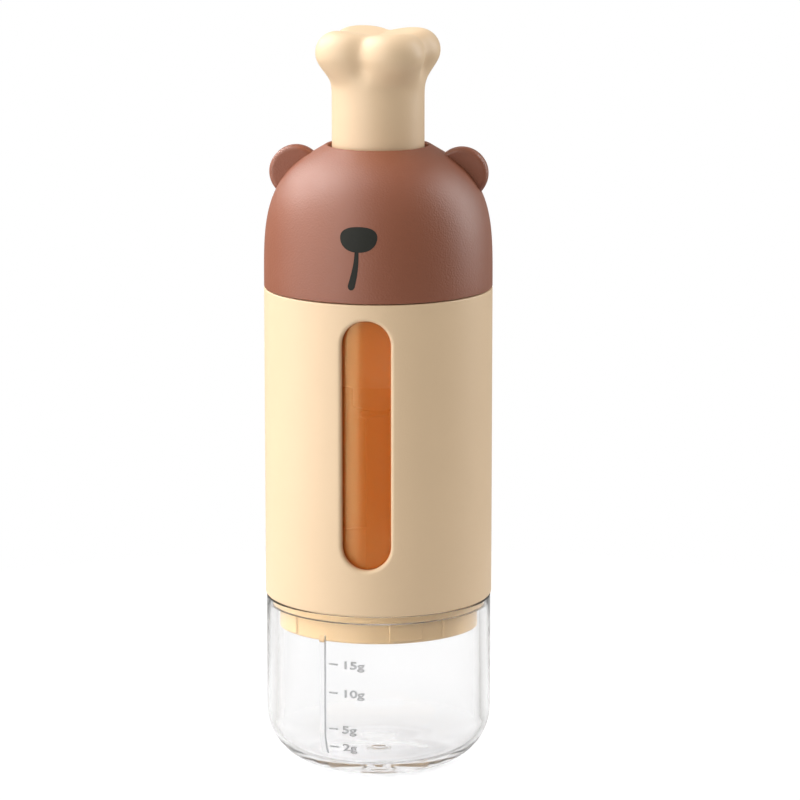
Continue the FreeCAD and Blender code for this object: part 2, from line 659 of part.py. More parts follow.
PIECES = {
    "measuring_cup": measuring_cup,
    "outer_sleeve": outer_sleeve,
    "spice_barrel": spice_barrel,
    "base_ring": base_ring,
    "metering_funnel": metering_funnel,
    "funnel_seal": funnel_seal,
    "throat_bush": throat_bush,
    "metering_spool": metering_spool,
    "lower_spool_seal": lambda: spool_seal(LOWER_SEAT),
    "upper_spool_seal": lambda: spool_seal(UPPER_SEAT),
    "push_rod": push_rod,
    "rod_nut": rod_nut,
    "rod_tube": rod_tube,
    "rod_clip": rod_clip,
    "gland_bush": gland_bush,
    "rod_wiper": rod_wiper,
    "guide_sleeve": guide_sleeve,
    "stem_guide": stem_guide,
    "stem_core": stem_core,
    "spring_washer": spring_washer,
    "return_spring": return_spring,
    "head_shell": head_shell,
    "inner_cap": inner_cap,
    "lid_gasket": lid_gasket,
    "hat_knob": hat_knob,
}

os.makedirs("parts", exist_ok=True)
for name, make in PIECES.items():
    solid = make()
    print(name, solid.ShapeType, len(solid.Solids), "valid", solid.isValid(),
          round(solid.Volume), "mm3")
    solid.exportStep("parts/" + name + ".step")

portion = math.pi * (THROAT_R ** 2 - WAIST_R ** 2) * (UPPER_LAND[0] - LOWER_LAND[1])
print("portion per press", round(portion / 1000, 2), "cm3")
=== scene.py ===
# %% [markdown]
# # A press-type spice dispenser
#
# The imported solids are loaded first. They fix every size and every place, so the smooth
# surfaces below only have to follow them. All lengths in this file are millimetres and are
# turned into Blender's metres at the last moment.

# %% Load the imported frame
import math

import bmesh
import bpy
import numpy as np
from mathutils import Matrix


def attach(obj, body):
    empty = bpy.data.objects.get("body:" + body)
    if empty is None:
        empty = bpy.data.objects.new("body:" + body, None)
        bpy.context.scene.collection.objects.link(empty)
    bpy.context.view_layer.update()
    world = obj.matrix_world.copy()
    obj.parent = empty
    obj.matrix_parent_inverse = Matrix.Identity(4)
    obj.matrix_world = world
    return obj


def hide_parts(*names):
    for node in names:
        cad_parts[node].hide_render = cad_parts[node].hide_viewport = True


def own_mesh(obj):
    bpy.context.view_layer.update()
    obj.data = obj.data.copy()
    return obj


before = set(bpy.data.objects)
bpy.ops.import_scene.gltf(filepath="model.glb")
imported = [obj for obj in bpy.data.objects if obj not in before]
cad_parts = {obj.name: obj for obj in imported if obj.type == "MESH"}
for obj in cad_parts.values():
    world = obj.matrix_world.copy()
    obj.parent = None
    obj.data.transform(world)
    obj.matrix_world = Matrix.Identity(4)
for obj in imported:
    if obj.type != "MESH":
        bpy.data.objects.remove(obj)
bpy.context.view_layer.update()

MM = 0.001
print("nodes in the frame:", len(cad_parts))

# %% [markdown]
# ## The camera
#
# The picture was taken with a long lens from almost a metre away, a little above the middle
# of the dispenser. A long lens keeps the sides of the body almost parallel. The camera stands
# six degrees round from the window.

# %% Camera
CAMERA_PLACE = (4.74, -885.24, 257.7)
CAMERA_DOWN, CAMERA_ROUND = 11.28, 6.0
LENS, SENSOR = 184.6, 36.0
FARTHEST_SEEN = 20.0  # metres


def turned_about_z(place, degrees):
    """Turn a place about the Z axis: each new coordinate is a sum of the old x and y, weighted
    with the cosine and the sine of the angle."""
    angle = math.radians(degrees)
    x, y, z = place
    return (x * math.cos(angle) - y * math.sin(angle),
            x * math.sin(angle) + y * math.cos(angle), z)


def new_object(name, data):
    """Object in the scene that shows a camera, a mesh, a text or a lamp."""
    made = bpy.data.objects.new(name, data)
    bpy.context.scene.collection.objects.link(made)
    return made


lens = bpy.data.cameras.new("camera")
lens.lens = LENS
lens.sensor_width = SENSOR
lens.clip_end = FARTHEST_SEEN
camera = new_object("camera", lens)
camera.location = [MM * c for c in turned_about_z(CAMERA_PLACE, CAMERA_ROUND)]
camera.rotation_euler = (math.radians(90 - CAMERA_DOWN), 0, math.radians(CAMERA_ROUND))
bpy.context.scene.camera = camera
bpy.context.scene.view_settings.view_transform = "Standard"
print("camera at", [round(c, 4) for c in camera.location])

# %% [markdown]
# ## The last steps of every piece
#
# Whatever made a mesh, it ends the same way: doubled points are merged, its faces are turned
# outwards, the shading is smoothed up to a certain angle, and the object is hung on the body it
# moves with. One function does it for all, so nothing is forgotten.

# %% Finishing a mesh
SAME_PLACE, NO_LENGTH = 2e-6, 1e-7  # metres
SHARP_ANGLE = 38.0


def finish_mesh(name, mesh, finish, body, stands_for=()):
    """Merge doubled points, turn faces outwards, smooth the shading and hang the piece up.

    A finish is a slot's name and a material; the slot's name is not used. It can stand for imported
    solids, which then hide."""
    work = bmesh.new()
    work.from_mesh(mesh)
    bmesh.ops.remove_doubles(work, verts=work.verts, dist=SAME_PLACE)
    bmesh.ops.dissolve_degenerate(work, edges=work.edges, dist=NO_LENGTH)
    bmesh.ops.recalc_face_normals(work, faces=work.faces)
    work.to_mesh(mesh)
    work.free()
    mesh.polygons.foreach_set("use_smooth", np.ones(len(mesh.polygons), dtype=bool))
    mesh.set_sharp_from_angle(angle=math.radians(SHARP_ANGLE))
    slot, material = finish
    mesh.materials.append(material)
    made = new_object(name, mesh)
    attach(made, body)
    if stands_for:
        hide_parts(*stands_for)
    print(name, len(mesh.polygons), "faces")
    return made


print("edges stay crisp above", SHARP_ANGLE, "degrees")

# %% [markdown]
# ## Grids that become meshes
#
# Every surface here is a grid of places, worked out as one numpy array of rows and columns.
# Modelling by hand would do too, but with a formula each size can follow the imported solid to
# a hundredth of a millimetre. Rows and columns can close on themselves, as round a ring. Where a
# row shrinks to one place, as at the middle of a floor, the doubled points are merged.

# %% From grids to a piece
def quads_of(rows, columns, close_rows, close_columns):
    """Corner numbers of the cells between neighbouring rows and columns.

    A point's number is its row times the number of columns, plus its column."""
    row, column = np.meshgrid(np.arange(rows if close_rows else rows - 1),
                              np.arange(columns if close_columns else columns - 1),
                              indexing="ij")
    below, beside = (row + 1) % rows, (column + 1) % columns
    corners = [row * columns + column, row * columns + beside,
               below * columns + beside, below * columns + column]
    return np.stack(corners, -1).reshape(-1, 4)


def piece(name, grids, finish, body, stands_for=()):
    """Mesh object made from grids of (places, close_rows, close_columns), riding on a body."""
    places, cells, used = [], [], 0
    for grid, close_rows, close_columns in grids:
        rows, columns = grid.shape[:2]
        cells.append(quads_of(rows, columns, close_rows, close_columns) + used)
        places.append(grid.reshape(-1, 3))
        used += rows * columns
    places, cells = np.concatenate(places) * MM, np.concatenate(cells)
    mesh = bpy.data.meshes.new(name)
    mesh.vertices.add(len(places))
    mesh.vertices.foreach_set("co", places.astype(np.float32).ravel())
    mesh.loops.add(cells.size)
    mesh.loops.foreach_set("vertex_index", cells.astype(np.int32).ravel())
    mesh.polygons.add(len(cells))
    mesh.polygons.foreach_set("loop_start", np.arange(0, cells.size, 4, dtype=np.int32))
    mesh.update(calc_edges=True)
    return finish_mesh(name, mesh, finish, body, stands_for)


print("a closed grid of 3 by 4 points has", len(quads_of(3, 4, True, True)), "faces")

# %% [markdown]
# ## Outlines
#
# Moulded parts have no sharp corners. An outline is written as its corners, each with its own
# rounding, and the rounding becomes an arc that touches both sides.

# %% Rounded outlines
TINY = 1e-6


def rounded(corners, steps=7, closed=True):
    """Corners (radius, height[, rounding]) as one line of points with an arc at each corner.

    An arc's centre lies on the line that halves the corner, at the rounding divided by the sine
    of half the angle. Its points are sums of the two spokes to the sides, weighted with sines."""
    flat = np.array([corner[:2] for corner in corners], float)
    size = np.array([corner[2] if len(corner) > 2 else 0.0 for corner in corners])
    back = np.roll(flat, 1, 0) - flat
    ahead = np.roll(flat, -1, 0) - flat
    back /= np.linalg.norm(back, axis=1, keepdims=True)
    ahead /= np.linalg.norm(ahead, axis=1, keepdims=True)
    half = np.arccos(np.clip((back * ahead).sum(1), -1, 1)) / 2
    if not closed:
        size[0] = size[-1] = 0.0
    inward = (back + ahead) / np.maximum(np.linalg.norm(back + ahead, axis=1, keepdims=True), TINY)
    centre = flat + inward * (size / np.sin(half))[:, None]
    start = flat + back * (size / np.tan(half))[:, None] - centre
    end = flat + ahead * (size / np.tan(half))[:, None] - centre
    sweep = np.maximum(math.pi - 2 * half, TINY)
    share = np.linspace(0, 1, steps)[None, :]
    along = np.sin((1 - share) * sweep[:, None]) / np.sin(sweep)[:, None]
    beyond = np.sin(share * sweep[:, None]) / np.sin(sweep)[:, None]
    arcs = centre[:, None] + along[..., None] * start[:, None] + beyond[..., None] * end[:, None]
    line = arcs.reshape(-1, 2)
    apart = np.linalg.norm(line - np.roll(line, 1, 0), axis=1) > TINY
    apart[0] = True
    return line[apart]


softened = rounded([(0, 0, 1), (9, 0, 1), (9, 9, 1), (0, 9, 1)])
print("a square with rounded corners has", len(softened), "points")

# %% [markdown]
# ## Turned surfaces
#
# Nearly everything here is round, and an outline that goes round the axis gives it. The Screw
# modifier does the same, but as a grid the surface can still be changed, which gives the ribs.
# Angles start at the window, in the middle of the front.

# %% Turned surfaces
SMOOTH_ROUND = 288


def around_axis(angle, radius, height):
    """Place at an angle: x is radius times sine, y is minus radius times cosine."""
    return np.stack(np.broadcast_arrays(
        radius * np.sin(angle), -radius * np.cos(angle), height), -1)


def turned(line, columns):
    """Surface of revolution: every point of the line goes round the axis in equal steps."""
    return around_axis(np.arange(columns) * 2 * math.pi / columns, line[:, :1], line[:, 1:])


print("turned, it has", turned(softened, SMOOTH_ROUND).size // 3, "points")

# %% [markdown]
# ## Shader maths as plain sums
#
# A material is a small program. It could be put together in the editor, node by node. The class
# below lets a socket be written in sums and products instead, so that `0.4 + noise * 0.1` adds
# the two Math nodes by itself.

# %% Sockets that can be calculated with
class Value:
    """One output socket of a node, usable in a calculation."""

    def __init__(self, shader, socket):
        self.shader = shader
        self.socket = socket

    def maths(self, operation, first, second):
        return self.shader.node("ShaderNodeMath", {"operation": operation}, {0: first, 1: second})

    def __add__(self, other):
        return self.maths("ADD", self, other)

    def __radd__(self, other):
        return self.maths("ADD", other, self)

    def __mul__(self, other):
        return self.maths("MULTIPLY", self, other)

    def __rmul__(self, other):
        return self.maths("MULTIPLY", other, self)


print("sockets can be added and multiplied")

# %% [markdown]
# ## A node tree with few words
#
# Materials and the world are both trees of nodes. One class serves both: one method adds any
# node, and a few short ones add what nearly every finish here needs.

# %% Node trees
class Shader:
    """Node tree of a material, or of another kind of data that has one."""

    def __init__(self, name, kind=bpy.data.materials):
        self.owner = kind.new(name)
        self.owner.use_nodes = True
        self.tree = self.owner.node_tree
        self.tree.nodes.clear()

    def node(self, kind, settings=None, sockets=None, output=0):
        """Add a node, set it up, feed its sockets and give back one of its outputs."""
        made = self.tree.nodes.new(kind)
        for setting, value in (settings or {}).items():
            setattr(made, setting, value)
        for socket, value in (sockets or {}).items():
            if isinstance(value, Value):
                self.tree.links.new(value.socket, made.inputs[socket])
            else:
                made.inputs[socket].default_value = value
        return Value(self, made.outputs[output]) if made.outputs else None

    def places(self, stretch=(1, 1, 1)):
        """Object coordinates, drawn out along the axes."""
        here = self.node("ShaderNodeTexCoord", output="Object")
        return self.node("ShaderNodeMapping", {}, {"Vector": here, "Scale": stretch})

    def noise(self, scale, detail=2.0, stretch=(1, 1, 1)):
        """Soft random values around one half."""
        return self.node("ShaderNodeTexNoise", {"noise_dimensions": "3D"},
                         {"Vector": self.places(stretch), "Scale": scale, "Detail": detail})

    def mix_colour(self, share, first, second):
        """Colour between two colours."""
        return self.node("ShaderNodeMix", {"data_type": "RGBA"},
                         {0: share, 6: first, 7: second}, output=2)

    def bump(self, height, strength, distance):
        """Normal that tilts with a height."""
        return self.node("ShaderNodeBump", {}, {"Height": height, "Strength": strength,
                                                "Distance": distance * MM})

    def principled(self, **sockets):
        """The main surface shader. Underscores in names stand for spaces."""
        named = {key.replace("_", " "): value for key, value in sockets.items()}
        return self.node("ShaderNodeBsdfPrincipled", {}, named)

    def done(self, surface, end="ShaderNodeOutputMaterial"):
        """Connect the surface and give back the material, or what else owns the tree."""
        self.node(end, {}, {"Surface": surface})
        print(self.owner.name, "has", len(self.tree.nodes), "nodes")
        return self.owner


def rgba(colour):
    """Colour with full opacity."""
    return (*colour, 1.0)


def shade(colour, factor):
    """The same colour, lighter or darker: each channel times the factor, at most 1."""
    return rgba([min(1.0, channel * factor) for channel in colour])


print("cream at half its strength:", shade((0.8, 0.6, 0.4), 0.5))

# %% [markdown]
# ## Plastics
#
# The body and the hat are a cream plastic from a finely sanded mould, and the head a brown one.
# Such a surface is even, with a broad soft shine. Flat paint would look too clean, and a scanned
# picture of plastic would need an image file. So noise gives it a fine grain as a small bump,
# and slow changes of colour and roughness. The base ring is a little more yellow than the body,
# and darker: the yellow is its own, the darkness is painted shade for the shade it sits in behind
# the cup wall. The works inside are undyed, and the print is a dull near-black.

# %% Moulded plastic
MOTTLE_SCALE, SHEEN_SCALE, GRAIN_SCALE = 55.0, 420.0, 2400.0  # waves in a metre


def moulded(name, colour, roughness, grain=0.02, mottle=0.03, shine=0.5):
    """Opaque moulded plastic: slow mottling, uneven roughness and a fine grain.

    The colour runs from 1 - mottle to 1 + mottle times itself, the grain is in millimetres."""
    shader = Shader(name)
    slow = shader.noise(MOTTLE_SCALE, 3.0)
    colour_here = shader.mix_colour(slow, shade(colour, 1 - mottle), shade(colour, 1 + mottle))
    rough_here = (roughness - 0.05) + shader.noise(SHEEN_SCALE, 2.0) * 0.1
    bumps = shader.bump(shader.noise(GRAIN_SCALE, 1.0), 1.0, grain)
    return name, shader.done(shader.principled(
        Base_Color=colour_here, Roughness=rough_here, Normal=bumps, Specular_IOR_Level=shine))


CREAM = (0.82, 0.605, 0.395)
BROWN = (0.272, 0.076, 0.031)
# the base ring: more yellow than the body, and darker as painted shade for the shade behind the cup
# wall
RING_CREAM_WITH_SHADE = (0.70, 0.475, 0.235)
NATURAL = (0.83, 0.80, 0.74)
SEAL_GREY = (0.55, 0.53, 0.50)
INK = (0.017, 0.017, 0.013)

cream = moulded("cream_plastic", CREAM, 0.42, shine=0.45)
brown = moulded("brown_plastic", BROWN, 0.47, grain=0.06, mottle=0.06, shine=0.93)
ring_cream_with_shade = moulded("ring_plastic", RING_CREAM_WITH_SHADE, 0.38, shine=0.8)
natural = moulded("natural_plastic", NATURAL, 0.34)
rubber = moulded("seal_rubber", SEAL_GREY, 0.72, grain=0.04, mottle=0.08, shine=0.3)
ink = moulded("dark_print", INK, 0.6, grain=0.01, mottle=0.2, shine=0.3)

# %% [markdown]
# ## Clear cup and amber barrel
#
# Light has to reach the inside of both. A refracting surface stops the lamps' direct light, so
# for shadow rays the surface turns into a tinted film. What the eye sees stays real refraction.
# The figures on the cup have a rougher, greyer surface than its wall. The amber is not quite
# clear: pigment scatters part of the light (milk), part passes straight on (one minus body),
# and the lamps' reflection is tinted (gleam), which keeps it from lying over the wall as a veil.

# %% See-through plastic
STREAK_SCALE, STREAK_DEPTH = 35.0, 0.015


def see_through(name, tint, film, roughness, milk=0.0, index=1.49, gleam=(1, 1, 1), body=1.0):
    """Refracting plastic that lets the lamps' light pass as through a tinted film.

    It mixes solid and film by one question: is this a shadow ray, yes (1) or no (0)?"""
    shader = Shader(name)
    streaks = shader.noise(STREAK_SCALE, 2.0, (1, 1, 0.2))
    solid = shader.principled(
        Base_Color=shader.mix_colour(streaks, shade(tint, 1 - STREAK_DEPTH),
                                     shade(tint, 1 + STREAK_DEPTH)),
        Roughness=roughness + streaks * 0.01, IOR=index, Transmission_Weight=1.0 - milk,
        Specular_Tint=rgba(gleam), Alpha=body)
    thin = shader.node("ShaderNodeBsdfTransparent", {}, {"Color": rgba(film)})
    light = shader.node("ShaderNodeLightPath", output="Is Shadow Ray")
    return name, shader.done(shader.node(
        "ShaderNodeMixShader", {}, {0: light, 1: solid, 2: thin}))


clear = see_through("clear_plastic", (0.985, 0.984, 0.988), (0.95, 0.95, 0.96), 0.0)
# the frosted marks carry the clear cup's slot name, which nothing reads
frosted = (clear[0], see_through("frosted_plastic", (0.50, 0.50, 0.51), (0.85, 0.85, 0.86), 0.3)[1])
amber = see_through("amber_plastic", (1.0, 0.215, 0.008), (0.99, 0.92, 0.80), 0.20, milk=0.68,
                    index=2.5, gleam=(1.0, 0.84, 0.42), body=0.53)

# %% [markdown]
# ## Steel
#
# The rod and the spring are bright drawn wire. Fine lines run along such wire, so the noise is
# drawn out along the axis before it feeds colour, roughness and bump.

# %% Steel
LINE_SCALE, LINE_STRETCH = 900.0, (1, 1, 0.03)


def drawn_steel(name, colour, roughness):
    """Metal with fine lines along its length."""
    shader = Shader(name)
    lines = shader.noise(LINE_SCALE, 3.0, LINE_STRETCH)
    return name, shader.done(shader.principled(
        Base_Color=shader.mix_colour(lines, shade(colour, 0.92), shade(colour, 1.06)),
        Roughness=roughness + lines * 0.15, Metallic=1.0, Normal=shader.bump(lines, 0.3, 0.01)))


rod_steel = drawn_steel("rod_steel", (0.62, 0.62, 0.61), 0.22)
spring_steel = drawn_steel("spring_steel", (0.55, 0.55, 0.56), 0.28)

# %% [markdown]
# ## Measuring cup
#
# The cup is moulded: a thick clear wall, a generous corner, a foot ring, a shallow recess under
# the floor and a step inside the rim for the base ring. A small ring in the middle of the floor
# is what the mould's gate leaves. All of it is round, so it is one closed outline, turned about
# the axis. Walls made with Solidify would have one thickness everywhere, which a cup has not.

# %% Cup wall
CUP_R, CUP_TOP, CUP_CORNER = 24.8, 38.0, 12.1
# from the recess below, over foot, corner and rim, to the bore and the ring on the floor
cup_outline = rounded([
    (0, 0.75), (2.6, 0.75, 0.15), (2.6, 0.4, 0.1), (8.5, 0.4, 6.0), (11.2, 0.0, 6.0),
    (CUP_R, 0.0, CUP_CORNER), (CUP_R, CUP_TOP, 0.35), (24.0, CUP_TOP, 0.25), (24.0, 36.2, 0.15),
    (22.6, 36.2, 0.3), (22.6, 3.0, 7.35), (2.8, 3.0, 0.1), (2.65, 3.47, 0.22), (1.6, 3.47, 0.22),
    (1.45, 3.0, 0.1), (0, 3.0)], steps=17, closed=False)
piece("cup_wall", [(turned(cup_outline, SMOOTH_ROUND), False, True)], clear, "cup",
      ["measuring_cup"])

# %% [markdown]
# ## Scale on the cup
#
# The scale stands out from the wall: a strip that runs down round the corner, four ticks and
# their figures in grams. Cutting them into the cup's mesh would spoil its even grid. So a mark
# is drawn flat and laid on the wall, by a map from a place on the flat to the cup: how far
# round, how far up, how far out.

# %% Laying flat marks on the cup
MARK_FOOT, MARK_SINK, MARK_EDGE = 0.05, 0.02, 0.12


def on_cup(degrees, height, out):
    """Place on the cup's outside: direction from the window, height, distance off the wall.

    Above the corner the wall is a cylinder. In the corner the radius follows a quarter circle,
    and the distance is taken along the quarter circle's own radius."""
    into = np.clip((CUP_CORNER - height) / CUP_CORNER, 0, 1)
    level = np.sqrt(1 - into ** 2)
    radius = CUP_R - CUP_CORNER + CUP_CORNER * level + out * level
    lift = height - out * into
    return around_axis(np.radians(degrees), radius, lift)


def pad_on_cup(left, right, bottom, top, proud, steps):
    """Raised pad with rounded edges: near each edge its height is a quarter circle.

    With the distance from an edge as a share d of the edge's width, the height is the square
    root of d times (2 - d), once across and once along."""
    across = np.linspace(-1, 1, steps[0] + 1)
    along = np.linspace(-1, 1, steps[1] + 1)
    u, v = np.meshgrid(across, along, indexing="ij")
    degrees = (left + right) / 2 + u * (right - left) / 2
    height = (bottom + top) / 2 + v * (top - bottom) / 2
    flank = np.minimum(1, (1 - np.abs(u)) * (right - left) / 2 * math.radians(CUP_R) / MARK_EDGE)
    close = np.minimum(1, (1 - np.abs(v)) * (top - bottom) / 2 / MARK_EDGE)
    fall = np.sqrt(np.clip(flank * (2 - flank) * close * (2 - close), 0, 1))
    outer = on_cup(degrees, height, proud * fall - MARK_SINK)
    inner = on_cup(degrees, height, -MARK_FOOT)
    return [(outer, False, False), (inner, False, False)]


half_way_up = on_cup(0, CUP_CORNER / 2, 0)
print("half-way up the corner the cup's radius is", round(-float(half_way_up[1]), 2), "mm")

# %% [markdown]
# The strip is as clear as the wall. Line and ticks are frosted, so that they can be read. Each
# is a pad between a left and a right direction.

# %% Strip, line and ticks
TICKS = ((27.15, "15g"), (20.75, "10g"), (12.65, "5g"), (8.55, "2g"))
SCALE_HEIGHTS, TICK_HALF = (6.6, 33.4), 0.2
STRIP, STRIP_PROUD = (-24.9, -21.9), 0.32
LINE, LINE_PROUD = (-22.05, -21.2), 0.30
TICK, TICK_PROUD = (-19.6, -14.6), 0.2
piece("cup_strip", pad_on_cup(*STRIP, *SCALE_HEIGHTS, STRIP_PROUD, (16, 60)), clear, "cup")
marks = pad_on_cup(*LINE, *SCALE_HEIGHTS, LINE_PROUD, (12, 60))
for tick_height, _ in TICKS:
    marks += pad_on_cup(*TICK, tick_height - TICK_HALF, tick_height + TICK_HALF, TICK_PROUD,
                        (24, 6))
piece("cup_scale", marks, frosted, "cup")

# %% [markdown]
# ## Figures in grams
#
# The figures are raised too. The built-in font draws them as flat plates. Each becomes a mesh
# first. Then every point is laid on the wall: the plate's front a little proud, its back a
# little under the surface, so that no gap shows at the sides.

# %% Figures in grams
FIGURE_SIZE, FIGURE_STRETCH, FIGURE_BOLD, PLATE_HALF = 2.35, 1.5, 0.05, 0.5
FIGURE_DEGREES, FIGURE_DROP, FIGURE_PROUD = -12.5, 0.75, 0.22


def figure_on_cup(text, height):
    """Text, made a mesh and wrapped on the cup: its angle is length over the cup's radius."""
    words = bpy.data.curves.new("figure_" + text, "FONT")
    words.body = text
    words.size = FIGURE_SIZE
    words.extrude = PLATE_HALF
    words.offset = FIGURE_BOLD
    words.resolution_u = 4
    writing = new_object("figure_" + text, words)
    bpy.context.view_layer.update()
    mesh = bpy.data.meshes.new_from_object(writing.evaluated_get(
        bpy.context.evaluated_depsgraph_get()))
    bpy.data.objects.remove(writing)
    flat = np.empty(len(mesh.vertices) * 3, np.float32)
    mesh.vertices.foreach_get("co", flat)
    flat = flat.reshape(-1, 3).astype(float)
    out = np.where(flat[:, 2] > 0, FIGURE_PROUD, -MARK_FOOT)
    wrapped = on_cup(FIGURE_DEGREES + np.degrees(flat[:, 0] * FIGURE_STRETCH / CUP_R),
                     height + flat[:, 1], out) * MM
    mesh.vertices.foreach_set("co", wrapped.astype(np.float32).ravel())
    return finish_mesh("cup_figure_" + text, mesh, frosted, "cup")


for tick_height, figure in TICKS:
    figure_on_cup(figure, tick_height - FIGURE_DROP)

# %% [markdown]
# ## Base ring
#
# The ring snaps into the sleeve and plugs into the cup. Its spigot shows through the clear wall,
# with two wide pads and four narrow ribs that grip the cup. Pads and ribs are bumps of the
# radius, so the outline is turned first and then pushed out where the angle says so.

# %% Base ring
SPIGOT_R, RING_COLUMNS = 22.1, 1440
# directions, half the width in degrees, and how far each stands out
PADS = ((21.5, 201.5), 9.0, 0.30)
RIBS = ((45.0, 135.0, 225.0, 315.0), 1.1, 0.35)
RIB_FLANK, ON_WALL = 0.4, 0.01


def step_up(angle, centre, half_width, ramp):
    """1 within half a width of a direction, falling to 0 over a ramp, all in degrees."""
    away = np.abs((angle - centre + 180) % 360 - 180)
    return np.clip((half_width + ramp - away) / ramp, 0, 1)


def raise_ribs(grid, radius, low, high, out):
    """Push the wall of a turned grid out to a radius that depends on the column.

    x and y are both multiplied by the wanted radius divided by the radius they have."""
    here = np.hypot(grid[..., 0], grid[..., 1])
    between = (grid[..., 2] > low) & (grid[..., 2] < high) & (here > radius - ON_WALL)
    wanted = np.where(between, np.maximum(here, radius + out[None, :]), here)
    grid[..., :2] *= (wanted / here)[..., None]
    return grid


ring_outline = rounded([
    (8.4, 31.5, 0.2), (SPIGOT_R, 31.5, 0.5), (SPIGOT_R, 32.05), (SPIGOT_R, 32.3),
    (SPIGOT_R, 36.4, 0.15), (23.8, 36.4, 0.25), (23.8, 38.15, 0.1), (23.35, 38.15),
    (23.35, 41.1, 0.2), (20.4, 41.1, 0.2), (20.4, 33.1, 0.5), (8.4, 33.1, 0.2)])
turn = np.arange(RING_COLUMNS) * 360 / RING_COLUMNS
out = sum(proud * step_up(turn, centre, half_width, RIB_FLANK)
          for centres, half_width, proud in (PADS, RIBS) for centre in centres)
ring_grid = raise_ribs(turned(ring_outline, RING_COLUMNS), SPIGOT_R, 32.1, 36.39, out)
piece("base_plug", [(ring_grid, True, True)], ring_cream_with_shade, "dispenser", ["base_ring"])

# %% [markdown]
# ## Sleeve with its window
#
# The sleeve is a plain tube with one tall pill-shaped window. A Boolean cut would leave long
# thin faces round the window, which show as creases in the shine. So the grid follows the window:
# rolled flat, the tube is a rectangle with a hole. The first loops follow the hole, the last ones
# the edge of the rectangle, and those between are blends of both. The left and right edge of
# the rectangle meet at the back.

# %% Loops round the window
SLEEVE_R, SLEEVE_BORE_R = 25.0, 23.4
SLEEVE_LOW, SLEEVE_HIGH = 38.2, 106.6
WINDOW_HALF, WINDOW_LOW, WINDOW_HIGH = 5.3, 48.35, 103.0
WINDOW_EDGE = 0.9
ROUND_STEPS, SIDE_STEPS = 160, 72
OUTER_ROUNDING, INNER_CHAMFER = 0.3, 0.1
WALL_LOOPS = 97


def pill(grown):
    """Loop round the window, grown outwards: half a circle at each end, straight between.

    It starts at the middle of the top and goes down on the right."""
    half = WINDOW_HALF + grown
    low, high = WINDOW_LOW + WINDOW_HALF, WINDOW_HIGH - WINDOW_HALF
    quarter = np.linspace(0, math.pi / 2, ROUND_STEPS // 2 + 1)[:-1]
    side = np.linspace(0, 1, SIDE_STEPS + 1)[:-1]
    x = np.concatenate([half * np.sin(quarter), half + 0 * side, half * np.cos(quarter)])
    z = np.concatenate([high + half * np.cos(quarter), high + (low - high) * side,
                        low - half * np.sin(quarter)])
    return np.concatenate([x, [0.0], -x[:0:-1]]), np.concatenate([z, [low - half], z[:0:-1]])


def edge_of_sheet(low, high):
    """Loop round the rolled-out tube, as angle and height, in step with the window's loop."""
    quarter = np.linspace(0, math.pi, ROUND_STEPS // 2 + 1)[:-1]
    side = np.linspace(0, 1, SIDE_STEPS + 1)[:-1]
    angle = np.concatenate([quarter, math.pi + 0 * side, math.pi - quarter])
    z = np.concatenate([high + 0 * quarter, high + (low - high) * side, low + 0 * quarter])
    return np.concatenate([angle, [0.0], -angle[:0:-1]]), np.concatenate([z, [low], z[:0:-1]])


def wall_loops(radius, low, high, grown):
    """Loops on one cylinder: each is the window's loop plus a share of the way to the edge."""
    x, z = pill(grown)
    start = np.arcsin(x / radius)
    end, end_z = edge_of_sheet(low, high)
    loops = []
    for share in np.linspace(0, 1, WALL_LOOPS):
        loops.append(around_axis(start + (end - start) * share, radius, z + (end_z - z) * share))
    return loops


def fillet_loops():
    """Rounded edge of the window: a quarter circle from the outside into the hole."""
    loops = []
    for turn_in in np.linspace(0, math.pi / 2, 9)[1:]:
        x, z = pill(WINDOW_EDGE * (1 - math.sin(turn_in)))
        radius = SLEEVE_R - WINDOW_EDGE * (1 - math.cos(turn_in))
        loops.append(np.stack([x, -np.sqrt(radius ** 2 - x ** 2), z], -1))
    return loops


print("a loop round the window has", len(pill(0.0)[0]), "points")

# %% [markdown]
# Outside, rounded edge of the window and bore are one grid, in that order. The tube's ends are
# not part of it: two turned rings with a rounded outer and a broken inner edge close them.

# %% Sleeve
sleeve_loops = wall_loops(SLEEVE_R, SLEEVE_LOW + OUTER_ROUNDING, SLEEVE_HIGH - OUTER_ROUNDING,
                          WINDOW_EDGE)[::-1]
sleeve_loops += fillet_loops()
sleeve_loops += wall_loops(SLEEVE_BORE_R, SLEEVE_LOW + INNER_CHAMFER,
                           SLEEVE_HIGH - INNER_CHAMFER, 0.0)
rim = np.array([(SLEEVE_BORE_R, INNER_CHAMFER), (SLEEVE_BORE_R + INNER_CHAMFER, 0.0)] + [
    (SLEEVE_R - OUTER_ROUNDING * (1 - math.sin(a)), OUTER_ROUNDING * (1 - math.cos(a)))
    for a in np.linspace(0, math.pi / 2, 6)])
rims = [(turned(np.stack([rim[:, 0], end + side * rim[:, 1]], -1), ROUND_STEPS), False, True)
        for end, side in ((SLEEVE_LOW, 1), (SLEEVE_HIGH, -1))]
piece("sleeve_tube", [(np.array(sleeve_loops), False, True), *rims], cream, "dispenser",
      ["outer_sleeve"])

# %% [markdown]
# ## Amber barrel
#
# The barrel holds the spice and shows in the window. It is a bottle upside down: a wide wall
# with a narrow neck at the top for the lid. It is turned, like the cup.

# %% Barrel
barrel_outline = rounded([
    (21.7, 43.5, 0.1), (23.1, 43.5, 0.2), (23.1, 104.3, 0.8), (20.6, 104.3, 0.3),
    (20.6, 116.4, 0.3), (19.2, 116.4, 0.3), (19.2, 102.9, 0.5), (21.7, 102.9, 0.9)])
piece("barrel_wall", [(turned(barrel_outline, SMOOTH_ROUND), True, True)], amber, "dispenser",
      ["spice_barrel"])

# %% [markdown]
# ## Threads
#
# The lid screws on the neck. A thread is a ridge with a blunt tooth for its section, carried
# along a helix. The Screw modifier makes one too, but it ends in a hard step. Here the ridge
# grows out of the neck at its start and sinks back at its end, as on a moulded bottle.

